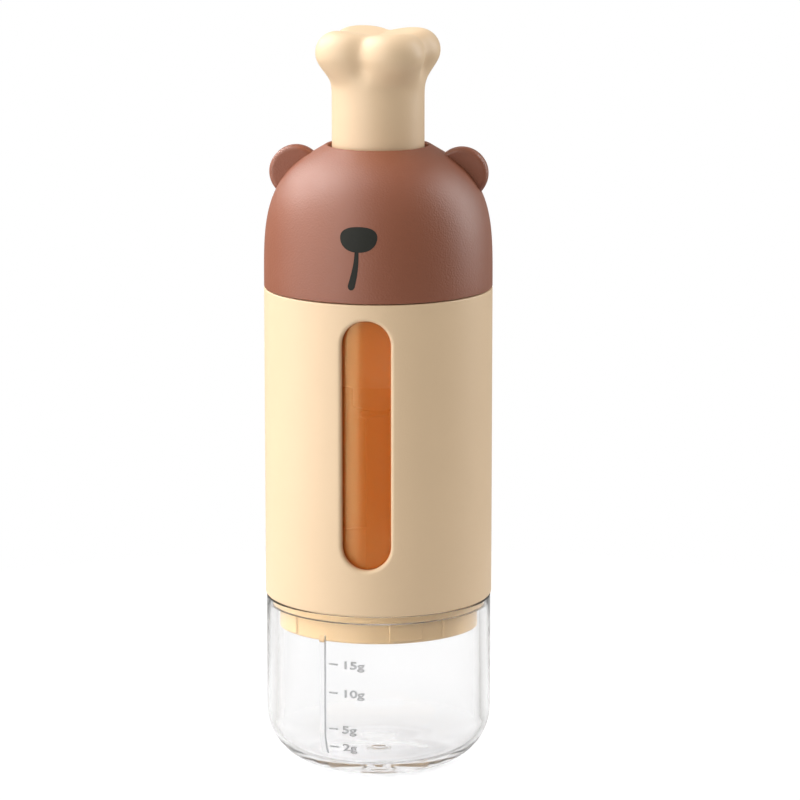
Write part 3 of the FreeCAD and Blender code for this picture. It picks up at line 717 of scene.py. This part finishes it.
# %% Threads
PITCH, TURNS, THREAD_Z = 4.2, 1.7, 106.4
TOOTH_ROOT, TOOTH_CREST, TOOTH_SINK = 0.95, 0.45, 0.06
FADE_DEGREES, STEPS_PER_TURN = 40.0, 90
END_HEIGHT = 0.3


def helix_ridge(root, crest, start_z):
    """Tooth section carried along a helix that rises by the pitch on every turn.

    Towards its ends the tooth fades: with a share t of the fading angle, its height is
    t * t * (3 - 2 * t), which starts and stops level."""
    angle = np.linspace(0, 2 * math.pi * TURNS, int(STEPS_PER_TURN * TURNS) + 1)
    share = np.clip(np.minimum(angle, angle[-1] - angle) / math.radians(FADE_DEGREES), 0, 1)
    grown = share ** 2 * (3 - 2 * share)
    base = root - math.copysign(TOOTH_SINK, crest - root)
    section_r = np.array([base, root, crest, crest, root, base])
    section_z = np.array([-TOOTH_ROOT, -TOOTH_ROOT, -TOOTH_CREST,
                          TOOTH_CREST, TOOTH_ROOT, TOOTH_ROOT])
    radius = base + (section_r[:, None] - base) * grown
    height = start_z + PITCH * angle / (2 * math.pi) + section_z[:, None] * (
        END_HEIGHT + (1 - END_HEIGHT) * grown)
    return np.stack([radius * np.cos(angle), radius * np.sin(angle), height], -1)


neck_thread = helix_ridge(20.6, 21.35, THREAD_Z)
piece("neck_thread", [(neck_thread, True, False)], amber, "dispenser")

# %% [markdown]
# ## Head
#
# The head is a dome with upright sides that turn over softly. Half a sphere would be too round
# and a rounded cylinder too square. Here the squared radius and a high power of the height add
# up to one. Near the top a straight cone takes over, on the dome's own slope, and runs up to the
# opening for the stem. The wall inside is the same form, set inwards.

# %% Dome
HEAD_LOW = 106.8
DOME_R, DOME_HEIGHT, DOME_POWER = 25.0, 32.6, 3.7
DOME_END, DOME_STEPS = 0.61, 72
HEAD_WALL, OPENING_R, LIP = 1.7, 10.9, 0.4
FOOT_ROUNDING, FOOT_STEPS = 0.25, 8


def dome_radius(height):
    """Radius of the dome at a height above its foot.

    It is the full radius times the square root of 1 minus a power of the share of the height."""
    return DOME_R * np.sqrt(1 - np.clip(height / DOME_HEIGHT, 0, 1) ** DOME_POWER)


def dome_line(wall):
    """Points up the dome, close together where it turns over, then the cone's upper end."""
    radius, height = DOME_R - wall, DOME_HEIGHT - wall
    top = (1 - DOME_END ** 2) ** (1 / DOME_POWER)
    share = np.sin(np.linspace(0, math.asin(top), DOME_STEPS))
    curve = np.stack([radius * np.sqrt(1 - share ** DOME_POWER), HEAD_LOW + height * share], -1)
    slope = 2 * DOME_END * height / (radius * DOME_POWER * top ** (DOME_POWER - 1))
    rim_z = HEAD_LOW + height * top + (DOME_END * radius - OPENING_R) * slope
    return np.concatenate([curve, [[OPENING_R, rim_z]]])


outer_line, inner_line = dome_line(0.0), dome_line(HEAD_WALL)
mouth = rounded([outer_line[-2], (*outer_line[-1], LIP), inner_line[-1]], closed=False)
foot = rounded([inner_line[0], (DOME_R, HEAD_LOW, FOOT_ROUNDING), outer_line[FOOT_STEPS]],
               closed=False)
head_outline = np.concatenate([foot[:-1], outer_line[FOOT_STEPS:-2], mouth[:-1],
                               inner_line[:0:-1]])
piece("head_dome", [(turned(head_outline, SMOOTH_ROUND), True, True)], brown, "lid",
      ["head_shell"])

# %% [markdown]
# ## Ears
#
# Each ear is a flat disc with rounded edges that stands across the head. Its inner part would
# reach into the hollow dome, so points under the dome's skin are moved out along a line from
# the dome's inside until they lie in the middle of the wall.

# %% Ears
EAR_REACH, EAR_Z, EAR_R, EAR_HALF, EAR_BACK = 18.15, 131.55, 5.8, 1.9, 1.1
EAR_ROUNDING, EAR_COLUMNS, MIDDLE_OF_WALL = 1.0, 144, 0.9
EAR_ANCHOR_Z, EAR_FARTHEST, HALVINGS = 118.0, 6.0, 30


def within_dome(places):
    """Below one inside the dome that runs in the middle of the wall, above one outside it.

    It is the dome's own sum: the share of the radius squared plus the power of the height's."""
    radius = np.hypot(places[..., 0], places[..., 1]) / (DOME_R - MIDDLE_OF_WALL)
    height = np.clip((places[..., 2] - HEAD_LOW) / (DOME_HEIGHT - MIDDLE_OF_WALL), 0, None)
    return radius ** 2 + height ** DOME_POWER


def rest_in_wall(places):
    """Push points that lie under the middle of the wall out to it, by halving intervals."""
    anchor = np.array([0.0, 0.0, EAR_ANCHOR_Z])
    low, high = np.ones(places.shape[:-1]), np.full(places.shape[:-1], EAR_FARTHEST)
    for _ in range(HALVINGS):
        middle = (low + high) / 2
        inside = within_dome(anchor + (places - anchor) * middle[..., None]) < 1
        low, high = np.where(inside, middle, low), np.where(inside, high, middle)
    moved = anchor + (places - anchor) * low[..., None]
    return np.where((within_dome(places) < 1)[..., None], moved, places)


def ear(side):
    """Disc turned about its own short axis, then stood up at the side of the head."""
    edge = rounded([(0, -EAR_HALF), (EAR_R, -EAR_HALF, EAR_ROUNDING),
                    (EAR_R, EAR_HALF, EAR_ROUNDING), (0, EAR_HALF)], steps=13, closed=False)[1:-1]
    face = np.linspace(0, EAR_R - EAR_ROUNDING, 14)[:-1]
    line = np.concatenate([np.stack([face, -EAR_HALF + 0 * face], -1), edge,
                           np.stack([face[::-1], EAR_HALF + 0 * face], -1)])
    disc = turned(line, EAR_COLUMNS)
    stood = np.stack([disc[..., 0] + side * EAR_REACH, disc[..., 2] + EAR_BACK,
                      disc[..., 1] + EAR_Z], -1)
    return rest_in_wall(stood)


for name, side in (("ear_left", -1), ("ear_right", 1)):
    piece(name, [(ear(side), False, True)], brown, "lid")

# %% [markdown]
# ## Printed nose and mouth
#
# Both are printed. Colour on the dome's own material would need a mask as fine as the print, so
# they are skins a few hundredths of a millimetre high that follow the dome, with their edges
# tucked under. The nose is an oval with a flat top and a pointed lower half.

# %% Nose
PRINT_PROUD, PRINT_TUCK = 0.035, -0.03
NOSE_DEGREES, NOSE_Z = -3.65, 121.05
NOSE_WIDE, NOSE_UP, NOSE_DOWN = 9.46, 2.25, 3.15
BOXY_SIDES, BOXY_TOP, POINTED = 0.85, 0.80, 1.05


def on_dome(degrees, height, out):
    """Place on the dome: direction from the window, height, distance off the skin."""
    return around_axis(np.radians(degrees), dome_radius(height - HEAD_LOW) + out, height)


def printed(degrees, height, edge):
    """Skin over a patch: raised within it, and tucked under the surface at its edge."""
    return [(on_dome(degrees, height, np.where(edge, PRINT_TUCK, PRINT_PROUD)), False, False)]


def signed_power(wave, power):
    """Power of the size of a wave, with the wave's sign: below 1 an oval turns boxy."""
    return np.sign(wave) * np.abs(wave) ** power


share, direction = np.meshgrid(np.append(np.linspace(0, 1, 16), 1.0),
                               np.linspace(0, 2 * math.pi, 121), indexing="ij")
upper = np.sin(direction) > 0
wide = NOSE_WIDE * signed_power(np.cos(direction), BOXY_SIDES)
tall = np.where(upper, NOSE_UP, NOSE_DOWN) * signed_power(
    np.sin(direction), np.where(upper, BOXY_TOP, POINTED))
nose_edge = np.zeros(share.shape, bool)
nose_edge[-1] = True
piece("printed_nose", printed(NOSE_DEGREES + wide * share, NOSE_Z + tall * share, nose_edge),
      ink, "lid")

# %% [markdown]
# The mouth is one stroke of a brush that grows wider on its way down. A few points give its
# course, a smooth curve joins them, and the stroke is laid out to both sides of the curve.

# %% Mouth
def smooth_path(points, count):
    """Curve through a few points, each coordinate a polynomial of the share of the way."""
    points = np.array(points, float)
    known = np.linspace(0, 1, len(points))
    share = np.linspace(0, 1, count)
    return np.stack([np.polyval(np.polyfit(known, column, len(points) - 1), share)
                     for column in points.T], -1)


MOUTH_POINTS = ((-4.4, 118.2), (-4.8, 115.4), (-5.75, 112.9), (-7.6, 109.75))
MOUTH_THIN, MOUTH_GROWTH, ROUND_END, MOUTH_STEPS = 0.42, 0.40, 0.1, 61
stroke = smooth_path(MOUTH_POINTS, MOUTH_STEPS)
share = np.linspace(0, 1, MOUTH_STEPS)
past = ((share - (1 - ROUND_END)) / ROUND_END).clip(0)
half_width = (MOUTH_THIN + MOUTH_GROWTH * share) * np.sqrt(np.clip(1 - past ** 2, 0, 1))
flat_stroke = np.stack([np.radians(stroke[:, 0]) * DOME_R, stroke[:, 1]], -1)
forward = np.gradient(flat_stroke, axis=0)
forward /= np.linalg.norm(forward, axis=1, keepdims=True)
sideways = np.stack([-forward[:, 1], forward[:, 0]], -1)
across = np.array([-1.0, -1.0, -0.6, 0.0, 0.6, 1.0, 1.0])
flat = flat_stroke[:, None] + sideways[:, None] * (half_width[:, None] * across)[..., None]
stroke_edge = np.zeros(flat.shape[:2], bool)
stroke_edge[:, [0, -1]] = True
piece("printed_mouth", printed(np.degrees(flat[..., 0] / DOME_R), flat[..., 1], stroke_edge),
      ink, "lid")

# %% [markdown]
# ## Hat
#
# The hat is the knob that is pressed: four puffs gathered into a round stem. It could be
# sculpted, or grown from a box with Subdivision Surface. Here it is a smooth skin over a net of
# control points, the same idea as in the solid, so that both have the same form. A spline
# weights the points of the net, and the weights come first.

# %% Basis of a cubic spline
JUST_BEFORE = 1e-9


def spline_basis(knots, degree, places):
    """Weight of every control point at every place.

    A weight of degree 0 is 1 between two knots and 0 elsewhere. One of the next degree is the
    sum of two neighbours, the first times a ramp that rises over its knots, the second times
    one that falls."""
    knots = np.asarray(knots, float)
    places = np.clip(places, knots[degree], knots[-degree - 1] - JUST_BEFORE)[:, None]
    weight = ((places >= knots[:-1]) & (places < knots[1:])).astype(float)
    for order in range(1, degree + 1):
        count = len(knots) - order - 1
        left = knots[order:order + count] - knots[:count]
        right = knots[order + 1:order + 1 + count] - knots[1:1 + count]
        rise = np.where(left > 0, (places - knots[:count]) / np.where(left > 0, left, 1), 0)
        fall = np.where(right > 0, (knots[order + 1:order + 1 + count] - places)
                        / np.where(right > 0, right, 1), 0)
        weight = rise * weight[:, :count] + fall * weight[:, 1:1 + count]
    return weight


print("weights add up to", spline_basis([0] * 4 + [1] * 4, 3, np.array([0.5])).sum())

# %% [markdown]
# ## Net of the hat
#
# The net has 32 columns round and 12 rows up. Each column is a blend of two outlines, one over
# the middle of a puff and one in the fold between two. How much of a puff it is follows from
# the circles that the puffs make when seen from above.

# %% Net of the hat
STEM_R, STEM_LOW, STEM_TOP = 10.08, 124.4, 147.0
STEM_BORE_R, STEM_BORE_TOP = 8.5, 149.0
PUFFS, PUFF_TURN = 4, 31.0
LOBE_REACH, LOBE_R = 7.0, 7.2
NET_COLUMNS, HAT_COLUMNS = 32, 256
PUFF_ANGLES = (-45, -15, 15, 45, 75, 105)
ROW_GAP, NECK_Z, CROWN_Z = 1.35, 151.2, 161.6
CROWN_SHOULDER, CROWN_MIDDLE = 2.6, 0.6
# radius and height of a puff's middle, its own radius, rise of the crown's shoulder
PUFF_OUTLINE, FOLD_OUTLINE = (9.7, 158.2, 4.6, 0.25), (6.4, 158.0, 3.9, 0.05)


def stand_off(step):
    """How far out the net must lie, as a factor, for the skin to pass through a circle.

    At a knot the skin is 1/6, 4/6 and 1/6 of three points, so it lies at (2 + cos(step)) / 3."""
    return 3 / (2 + math.cos(step))


def hat_rows(centre_r, centre_z, puff_r, shoulder_rise):
    """Radius and height of each row of control points on one outline."""
    rows = [(STEM_R, STEM_TOP), (STEM_R, STEM_TOP + ROW_GAP), (STEM_R, STEM_TOP + 2 * ROW_GAP),
            (STEM_R + 0.2, NECK_Z + 0.6)]
    swell = stand_off(math.radians(PUFF_ANGLES[1] - PUFF_ANGLES[0]))
    for angle in np.radians(PUFF_ANGLES):
        rows.append((centre_r + puff_r * swell * math.cos(angle),
                     centre_z + puff_r * swell * math.sin(angle)))
    return np.array(rows + [(CROWN_SHOULDER, CROWN_Z + shoulder_rise), (CROWN_MIDDLE, CROWN_Z)])


def puff_share(number):
    """1 on the middle of a puff, 0 in the fold, following the puff's circle seen from above.

    The circle's far side lies at reach * cos(turn) + root(r * r - (reach * sin(turn)) ** 2)."""
    step = 360 / NET_COLUMNS
    turn = np.radians((number * step + 180 / PUFFS) % (360 / PUFFS) - 180 / PUFFS)
    radius = LOBE_REACH * np.cos(turn) + np.sqrt(LOBE_R ** 2 - (LOBE_REACH * np.sin(turn)) ** 2)
    return (radius - radius.min()) / (radius.max() - radius.min())


def hat_net():
    """Control points of the skin above the stem: columns round, rows up."""
    puff, fold = hat_rows(*PUFF_OUTLINE), hat_rows(*FOLD_OUTLINE)
    number = np.arange(NET_COLUMNS)
    angle = math.radians(PUFF_TURN) + 2 * math.pi * number / NET_COLUMNS
    rows = fold + (puff - fold) * puff_share(number)[:, None, None]
    swollen = rows[..., 0] * stand_off(2 * math.pi / NET_COLUMNS)
    return np.stack([swollen * np.cos(angle)[:, None], swollen * np.sin(angle)[:, None],
                     rows[..., 1]], -1)


net = hat_net()
print("net of", net.shape[0], "columns and", net.shape[1], "rows")

# %% [markdown]
# ## Skin of the hat
#
# Weights round, net and weights up are multiplied in one go. The skin closes in one point on
# the crown, and below it goes on as the plain stem and its bore.

# %% Skin of the hat
spans = net.shape[1] - 3
up = spline_basis([0] * 3 + list(range(spans + 1)) + [spans] * 3, 3, np.linspace(0, spans, 181))
around = spline_basis(np.arange(-3, NET_COLUMNS + 4), 3,
                      np.arange(HAT_COLUMNS) * NET_COLUMNS / HAT_COLUMNS)
skin = np.einsum("ac,cri,ur->uai", around, np.concatenate([net, net[:3]]), up)
crown = np.repeat(skin[-1:].mean(1, keepdims=True), HAT_COLUMNS, 1)
column_angle = np.arctan2(skin[0, :, 0], -skin[0, :, 1])
inside = rounded([(STEM_R, STEM_TOP), (STEM_R, STEM_LOW, 0.3), (STEM_BORE_R, STEM_LOW, 0.3),
                  (STEM_BORE_R, STEM_BORE_TOP, 3.0), (0, STEM_BORE_TOP)], closed=False)[1:]
bore = around_axis(column_angle, inside[:, :1], inside[:, 1:])
piece("hat_skin", [(np.concatenate([crown, skin[::-1], bore]), False, True)], cream, "plunger",
      ["hat_knob"])

# %% [markdown]
# ## Works inside
#
# What runs inside is turned too: the guide sleeve and its gland hang from the lid, a tube and a
# clip ride on the rod, and funnel, bush and spool measure the portion. Some show through the
# amber wall, so all get smooth surfaces in place of the faceted solids. Each row of the table
# is a piece: the solid it stands for, its body, its material and its outline.

# %% Turned inner pieces
WORKS_COLUMNS = 96


def band(inner, outer, low, high, inner_rounding, outer_rounding):
    """Corners of a plain ring: a rectangle between two radii and two heights."""
    return [(inner, low, inner_rounding), (outer, low, outer_rounding),
            (outer, high, outer_rounding), (inner, high, inner_rounding)]


TURNED = {
    "guide_tube": ("guide_sleeve", "lid", natural, [
        (4.6, 85.9, 0.2), (12.4, 85.9, 0.8), (12.4, 120.1, 0.2), (15.5, 120.1, 0.2),
        (15.5, 121.6, 0.2), (12.4, 121.6, 0.2), (12.4, 133.4, 0.1), (11.0, 133.4, 0.2),
        (11.0, 87.5, 0.3), (4.6, 87.5, 0.1)]),
    "gland_collar": ("gland_bush", "lid", natural, [
        (4.0, 79.9, 0.2), (5.6, 79.9, 0.3), (5.6, 85.85, 0.15), (4.55, 85.85), (4.55, 87.55),
        (4.7, 87.55), (4.7, 88.0, 0.2), (2.05, 88.0), (2.05, 82.9), (4.0, 82.9)]),
    "wiper_ring": ("rod_wiper", "lid", rubber, band(2.05, 3.95, 80.05, 82.85, 0.3, 0.2)),
    "spacer_tube": ("rod_tube", "plunger", natural, band(2.025, 2.75, 43.15, 77.3, 0.1, 0.2)),
    "rod_ring": ("rod_clip", "plunger", natural, band(2.025, 4.05, 77.35, 78.15, 0.1, 0.2)),
    "rod_bar": ("push_rod", "plunger", rod_steel, [
        (0, 27.9), (2.0, 27.9, 0.4), (2.0, 130.3, 0.3), (0, 130.3)]),
    "stem_bush": ("stem_guide", "lid", natural, [
        (10.15, 124.6, 0.3), (10.95, 124.6, 0.2), (10.95, 133.45), (12.4, 133.45, 0.1),
        (12.4, 134.2, 0.2), (10.15, 134.2, 0.3)]),
    "funnel_body": ("metering_funnel", "dispenser", natural, [
        (7.0, 31.0), (8.2, 31.0, 0.2), (8.2, 37.21, 0.3), (20.2, 44.94, 0.3), (20.2, 41.2),
        (23.1, 41.2, 0.2), (23.1, 43.4, 0.2), (21.6, 43.4), (21.6, 45.3), (20.8, 45.3),
        (20.8, 46.5), (21.6, 46.5), (21.6, 47.5, 0.1), (20.6, 47.5, 0.1), (20.6, 47.3, 0.1),
        (5.7, 37.7, 0.2), (5.7, 37.3), (7.0, 37.3)]),
    "funnel_ring": ("funnel_seal", "dispenser", rubber, band(20.85, 21.68, 45.4, 46.4, 0.3, 0.3)),
    "throat_tube": ("throat_bush", "dispenser", natural, [
        (5.5, 30.0, 0.2), (8.1, 30.0, 0.3), (8.1, 30.95, 0.1), (6.95, 30.95), (6.95, 37.2, 0.2),
        (5.5, 37.2, 0.2)]),
    "spool_body": ("metering_spool", "plunger", natural, [
        (2.025, 30.5), (5.3, 30.5, 0.2), (5.3, 31.7), (4.4, 31.7), (4.4, 32.9), (5.3, 32.9),
        (5.3, 34.0, 0.1), (2.9, 34.0, 0.8), (2.9, 40.4, 0.8), (5.3, 40.4, 0.1), (5.3, 41.2),
        (4.4, 41.2), (4.4, 42.4), (5.3, 42.4), (5.3, 43.1, 0.2), (2.025, 43.1)]),
    "lower_ring": ("lower_spool_seal", "plunger", rubber, band(4.45, 5.45, 31.75, 32.85, 0.3, 0.3)),
    "upper_ring": ("upper_spool_seal", "plunger", rubber, band(4.45, 5.45, 41.25, 42.35, 0.3, 0.3)),
    "core_plug": ("stem_core", "plunger", natural, [
        (0, 130.4), (2.025, 130.4), (2.025, 97.55, 0.2), (3.6, 97.55, 0.4),
        (3.6, 122.4, 0.2), (10.9, 122.4, 0.2), (10.9, 124.3, 0.2), (8.45, 124.3),
        (8.45, 131.0, 0.3), (6.95, 131.0, 0.3), (6.95, 124.3, 0.3), (3.6, 124.3, 0.3),
        (3.6, 131.5, 0.4), (0, 131.5)]),
    "spring_seat": ("spring_washer", "lid", rod_steel, band(4.85, 10.6, 87.55, 88.25, 0.2, 0.2)),
    "cap_gasket": ("lid_gasket", "lid_seal", rubber, band(19.0, 20.9, 116.5, 117.9, 0.3, 0.3)),
}
for name, (node, body, finish, corners) in TURNED.items():
    ring = corners[0][0] > 0
    grid = turned(rounded(corners, closed=ring), WORKS_COLUMNS)
    piece(name, [(grid, ring, True)], finish, body, [node])

# %% [markdown]
# ## Inner cap
#
# The inner cap grips the head with twelve ribs and screws on the neck. The ribs are bumps of the
# radius, as on the base ring, and the thread is the same helix as the neck's, half a pitch up.

# %% Inner cap
CAP_R, CAP_BORE_R, CAP_RIBS, CAP_COLUMNS = 22.7, 21.6, 12, 720
CAP_RIB_PROUD, CAP_RIB_HALF, CAP_RIB_FLANK = 0.35, 1.4, 0.5
cap_outline = rounded([
    (CAP_BORE_R, 107.3, 0.3), (CAP_R, 107.3, 0.2), (CAP_R, 107.6), (CAP_R, 107.8),
    (CAP_R, 115.8), (CAP_R, 116.0), (CAP_R, 120.0, 0.9), (12.5, 120.0, 0.2), (12.5, 118.0, 0.2),
    (CAP_BORE_R, 118.0, 0.3)])
turn = np.arange(CAP_COLUMNS) * 360 / CAP_COLUMNS
out = CAP_RIB_PROUD * sum(step_up(turn, 360 / CAP_RIBS * rib, CAP_RIB_HALF, CAP_RIB_FLANK)
                          for rib in range(CAP_RIBS))
cap_grid = raise_ribs(turned(cap_outline, CAP_COLUMNS), CAP_R, 107.7, 115.9, out)
cap_thread = helix_ridge(CAP_BORE_R, 20.85, THREAD_Z + PITCH / 2)
piece("cap_body", [(cap_grid, True, True), (cap_thread, True, False)], natural, "lid",
      ["inner_cap"])

# %% [markdown]
# ## Return spring
#
# The spring brings the knob back. A curve with a bevel would give a wire too, but its ends stay
# open. So it is a circle carried along a helix, with a close pitch at both ends. When the knob
# goes down, the real spring shortens towards its lower end; here it is built at rest only.

# %% Spring
SPRING_R, WIRE_R, SPRING_LOW, SPRING_TURNS = 5.6, 0.55, 88.3, 7
SPRING_SPAN, END_PITCH, STROKE = 34.05, 1.65, 9.5
SPRING_LENGTH = SPRING_SPAN - 2 * WIRE_R
WIRE_SIDES, WIRE_STEPS = 16, 48
wound = np.linspace(0, SPRING_TURNS, SPRING_TURNS * WIRE_STEPS + 1)
middle_pitch = (SPRING_LENGTH - 2 * END_PITCH) / (SPRING_TURNS - 2)
rise = np.interp(wound, [0, 1, SPRING_TURNS - 1, SPRING_TURNS],
                 [0, END_PITCH, END_PITCH + middle_pitch * (SPRING_TURNS - 2), SPRING_LENGTH])
wire_angle = 2 * math.pi * wound
section = np.linspace(0, 2 * math.pi, WIRE_SIDES + 1)[:-1, None]
wire_radius = SPRING_R + WIRE_R * np.cos(section) + 0 * wire_angle
wire = np.stack([wire_radius * np.cos(wire_angle), wire_radius * np.sin(wire_angle),
                 SPRING_LOW + WIRE_R + rise + WIRE_R * np.sin(section)], -1)
first, last = (wire.mean(0)[None, [end]].repeat(WIRE_SIDES, 0) for end in (0, -1))
spring = piece("coil_spring", [(np.concatenate([first, wire, last], 1), True, False)],
               spring_steel, "lid", ["return_spring"])
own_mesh(spring)

# %% [markdown]
# ## Nut
#
# The nut at the lower end of the rod is small and has flat sides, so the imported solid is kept.
# It only gets the rod's steel.

# %% Finish of the nut
nut_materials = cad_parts["rod_nut"].data.materials
nut_materials.clear()
nut_materials.append(rod_steel[1])
print("rod_nut is made of", rod_steel[0])

# %% [markdown]
# ## Studio
#
# The picture has soft light, strong from the left and weak from the right. Five rectangular
# lamps give it: a large key lamp and a narrow front lamp at the left, one high up at the left
# for the hat and the dome, and two behind, which draw the bright edges. One big lamp would leave
# the right side without an edge.

# %% Lamps
LAMP_DISTANCE, AIM_HEIGHT = 1.0, 0.09  # metres


def softbox(name, azimuth, elevation, size, power):
    """Rectangular lamp that looks at the middle of the dispenser.

    It stands on a sphere: azimuth goes round from the camera's side, elevation goes up."""
    light = bpy.data.lights.new(name, "AREA")
    light.shape = "RECTANGLE"
    light.size, light.size_y = size
    light.energy = power
    light.cycles.use_multiple_importance_sampling = False
    lamp = new_object(name, light)
    turn, lift = math.radians(azimuth + CAMERA_ROUND), math.radians(elevation)
    lamp.location = (LAMP_DISTANCE * math.cos(lift) * math.sin(turn),
                     -LAMP_DISTANCE * math.cos(lift) * math.cos(turn),
                     AIM_HEIGHT + LAMP_DISTANCE * math.sin(lift))
    lamp.rotation_euler = (math.pi / 2 - lift, 0, turn)
    lamp.visible_camera = False
    print(name, "lamp of", power, "W")


softbox("key", -71, 14, (1.4, 1.6), 10.2)
softbox("front", -31, 5, (0.353, 1.7), 2.8)
softbox("top", -80, 62, (0.6, 0.6), 3.4)
softbox("rear_left", -122, 40, (0.9, 0.8), 8.6)
softbox("rear_right", 106, 22, (0.55, 1.0), 6.4)

# %% [markdown]
# ## World
#
# Behind the dispenser all is white, but white light from every side would wash its colours out.
# So the world lights the room with a dim, slightly warm grey, and only what the camera sees of
# it is white. The same goes for what it sees through the clear cup, as long as the wall doesn't
# turn the ray far aside. Where it does, the grey draws the cup's dark edges.

# %% World
ROOM_LIGHT = (0.305, 0.300, 0.275)
WORLD_ASIDE, TABLE_ASIDE = (0.2, 0.8), (0.78, 0.96)


def seen_white(shader, straight, aside, camera_share=1.0, through_share=1.0):
    """Share of white for what the camera sees, or sees through clear walls: the larger of both.

    The second falls from 1 to 0 as the wall turns the ray aside. The ends of the fall are given
    as cosines of the angle between the ray and the camera's own direction."""
    camera_ray = shader.node("ShaderNodeLightPath", output="Is Camera Ray")
    through = shader.node("ShaderNodeLightPath", output="Is Transmission Ray")
    ahead = shader.node("ShaderNodeMapRange", {},
                        {0: straight, 1: aside[0], 2: aside[1], 3: 0.0, 4: 1.0})
    return shader.node("ShaderNodeMath", {"operation": "MAXIMUM"},
                       {0: camera_ray * camera_share, 1: through * ahead * through_share})


WHITE = rgba((1, 1, 1))
backward = list(camera.matrix_basis.to_3x3().col[2])
studio = Shader("studio", bpy.data.worlds)
straight = studio.node("ShaderNodeVectorMath", {"operation": "DOT_PRODUCT"},
                       {0: studio.node("ShaderNodeTexCoord", output="Generated"),
                        1: [-c for c in backward]}, output=1)
white_part = studio.node("ShaderNodeBackground", {}, {"Color": WHITE})
grey_part = studio.node("ShaderNodeBackground", {}, {"Color": rgba(ROOM_LIGHT)})
mixed = studio.node("ShaderNodeMixShader", {},
                    {0: seen_white(studio, straight, WORLD_ASIDE), 1: grey_part, 2: white_part})
bpy.context.scene.world = studio.done(mixed, "ShaderNodeOutputWorld")

# %% [markdown]
# ## Table
#
# The dispenser stands on a round table that is as white as the world, for the camera. Near the
# foot that white fades ring by ring, so that the shadow on the grey paint shows. The paint itself
# is made darker under and round the foot: painted shade for the cup's contact shadow, added to
# the real one, and it also draws the thin dark edge under the cup. Lamps and plastic see only
# the paint. The disc lies a tenth of a millimetre below the foot, so that no faces touch.

# %% Table
TABLE_R, TABLE_MIDDLE_R, TABLE_Z, TABLE_COLUMNS = 200.0, 60.0, -0.1, 96
TABLE_GLOW = 1.06
floor_shader = Shader("white_table")
floor_white = floor_shader.node("ShaderNodeEmission", {}, {"Color": WHITE, "Strength": TABLE_GLOW})
here = floor_shader.node("ShaderNodeTexCoord", output="Object")
away = floor_shader.node("ShaderNodeVectorMath", {"operation": "LENGTH"}, {0: here}, output=1)


def ring_step(first, second, low, high):
    """Soft step from one value to another between two radii of the table.

    With a share t of the way from the first radius to the second it is t * t * (3 - 2 * t)."""
    return floor_shader.node("ShaderNodeMapRange", {"interpolation_type": "SMOOTHSTEP"},
                             {0: away, 1: first * MM, 2: second * MM, 3: low, 4: high})


# each from a radius to a radius, from a value to a value
# painted shade: the paint darkens towards the foot, from 0.5 beyond 30 mm to 0.34 within 16 mm
paint_with_painted_shade = ring_step(16.0, 30.0, 0.34, 0.5)
under = ring_step(14.0, 17.0, 0.30, 0.75)
contact = ring_step(14.5, 18.0, 0.5, 0.9)
beside = ring_step(22.0, 45.0, 0.0, 1.0)
floor_paint = floor_shader.principled(Base_Color=paint_with_painted_shade, Roughness=0.7)
incoming = floor_shader.node("ShaderNodeNewGeometry", output="Incoming")
onward = floor_shader.node("ShaderNodeVectorMath", {"operation": "DOT_PRODUCT"},
                           {0: incoming, 1: backward}, output=1)
white_share = seen_white(floor_shader, onward, TABLE_ASIDE, contact + beside * 0.1,
                         under + beside * 0.25)
floor_material = floor_shader.done(floor_shader.node(
    "ShaderNodeMixShader", {}, {0: white_share, 1: floor_paint, 2: floor_white}))
rings = np.array([[radius, TABLE_Z] for radius in (0.0, TABLE_MIDDLE_R, TABLE_R)])
disc = turned(rings, TABLE_COLUMNS) * MM
table_mesh = bpy.data.meshes.new("table")
table_mesh.from_pydata(disc.reshape(-1, 3).tolist(), [],
                       quads_of(len(rings), TABLE_COLUMNS, False, True).tolist())
table_mesh.materials.append(floor_material)
table = new_object("table", table_mesh)
print("table of", TABLE_R, "mm radius")

# %% [markdown]
# ## Light in clear walls
#
# Light that is caught in a thick clear wall turns there many times before it leaves. With
# Blender's usual limits such a ray ends black, and the cup's edges fill with dark spots, so the
# limits are raised.

# %% Light in clear walls
light_paths = bpy.context.scene.cycles
light_paths.max_bounces = 40
light_paths.glossy_bounces = 24
light_paths.transmission_bounces = 24
print("bounces:", light_paths.max_bounces)
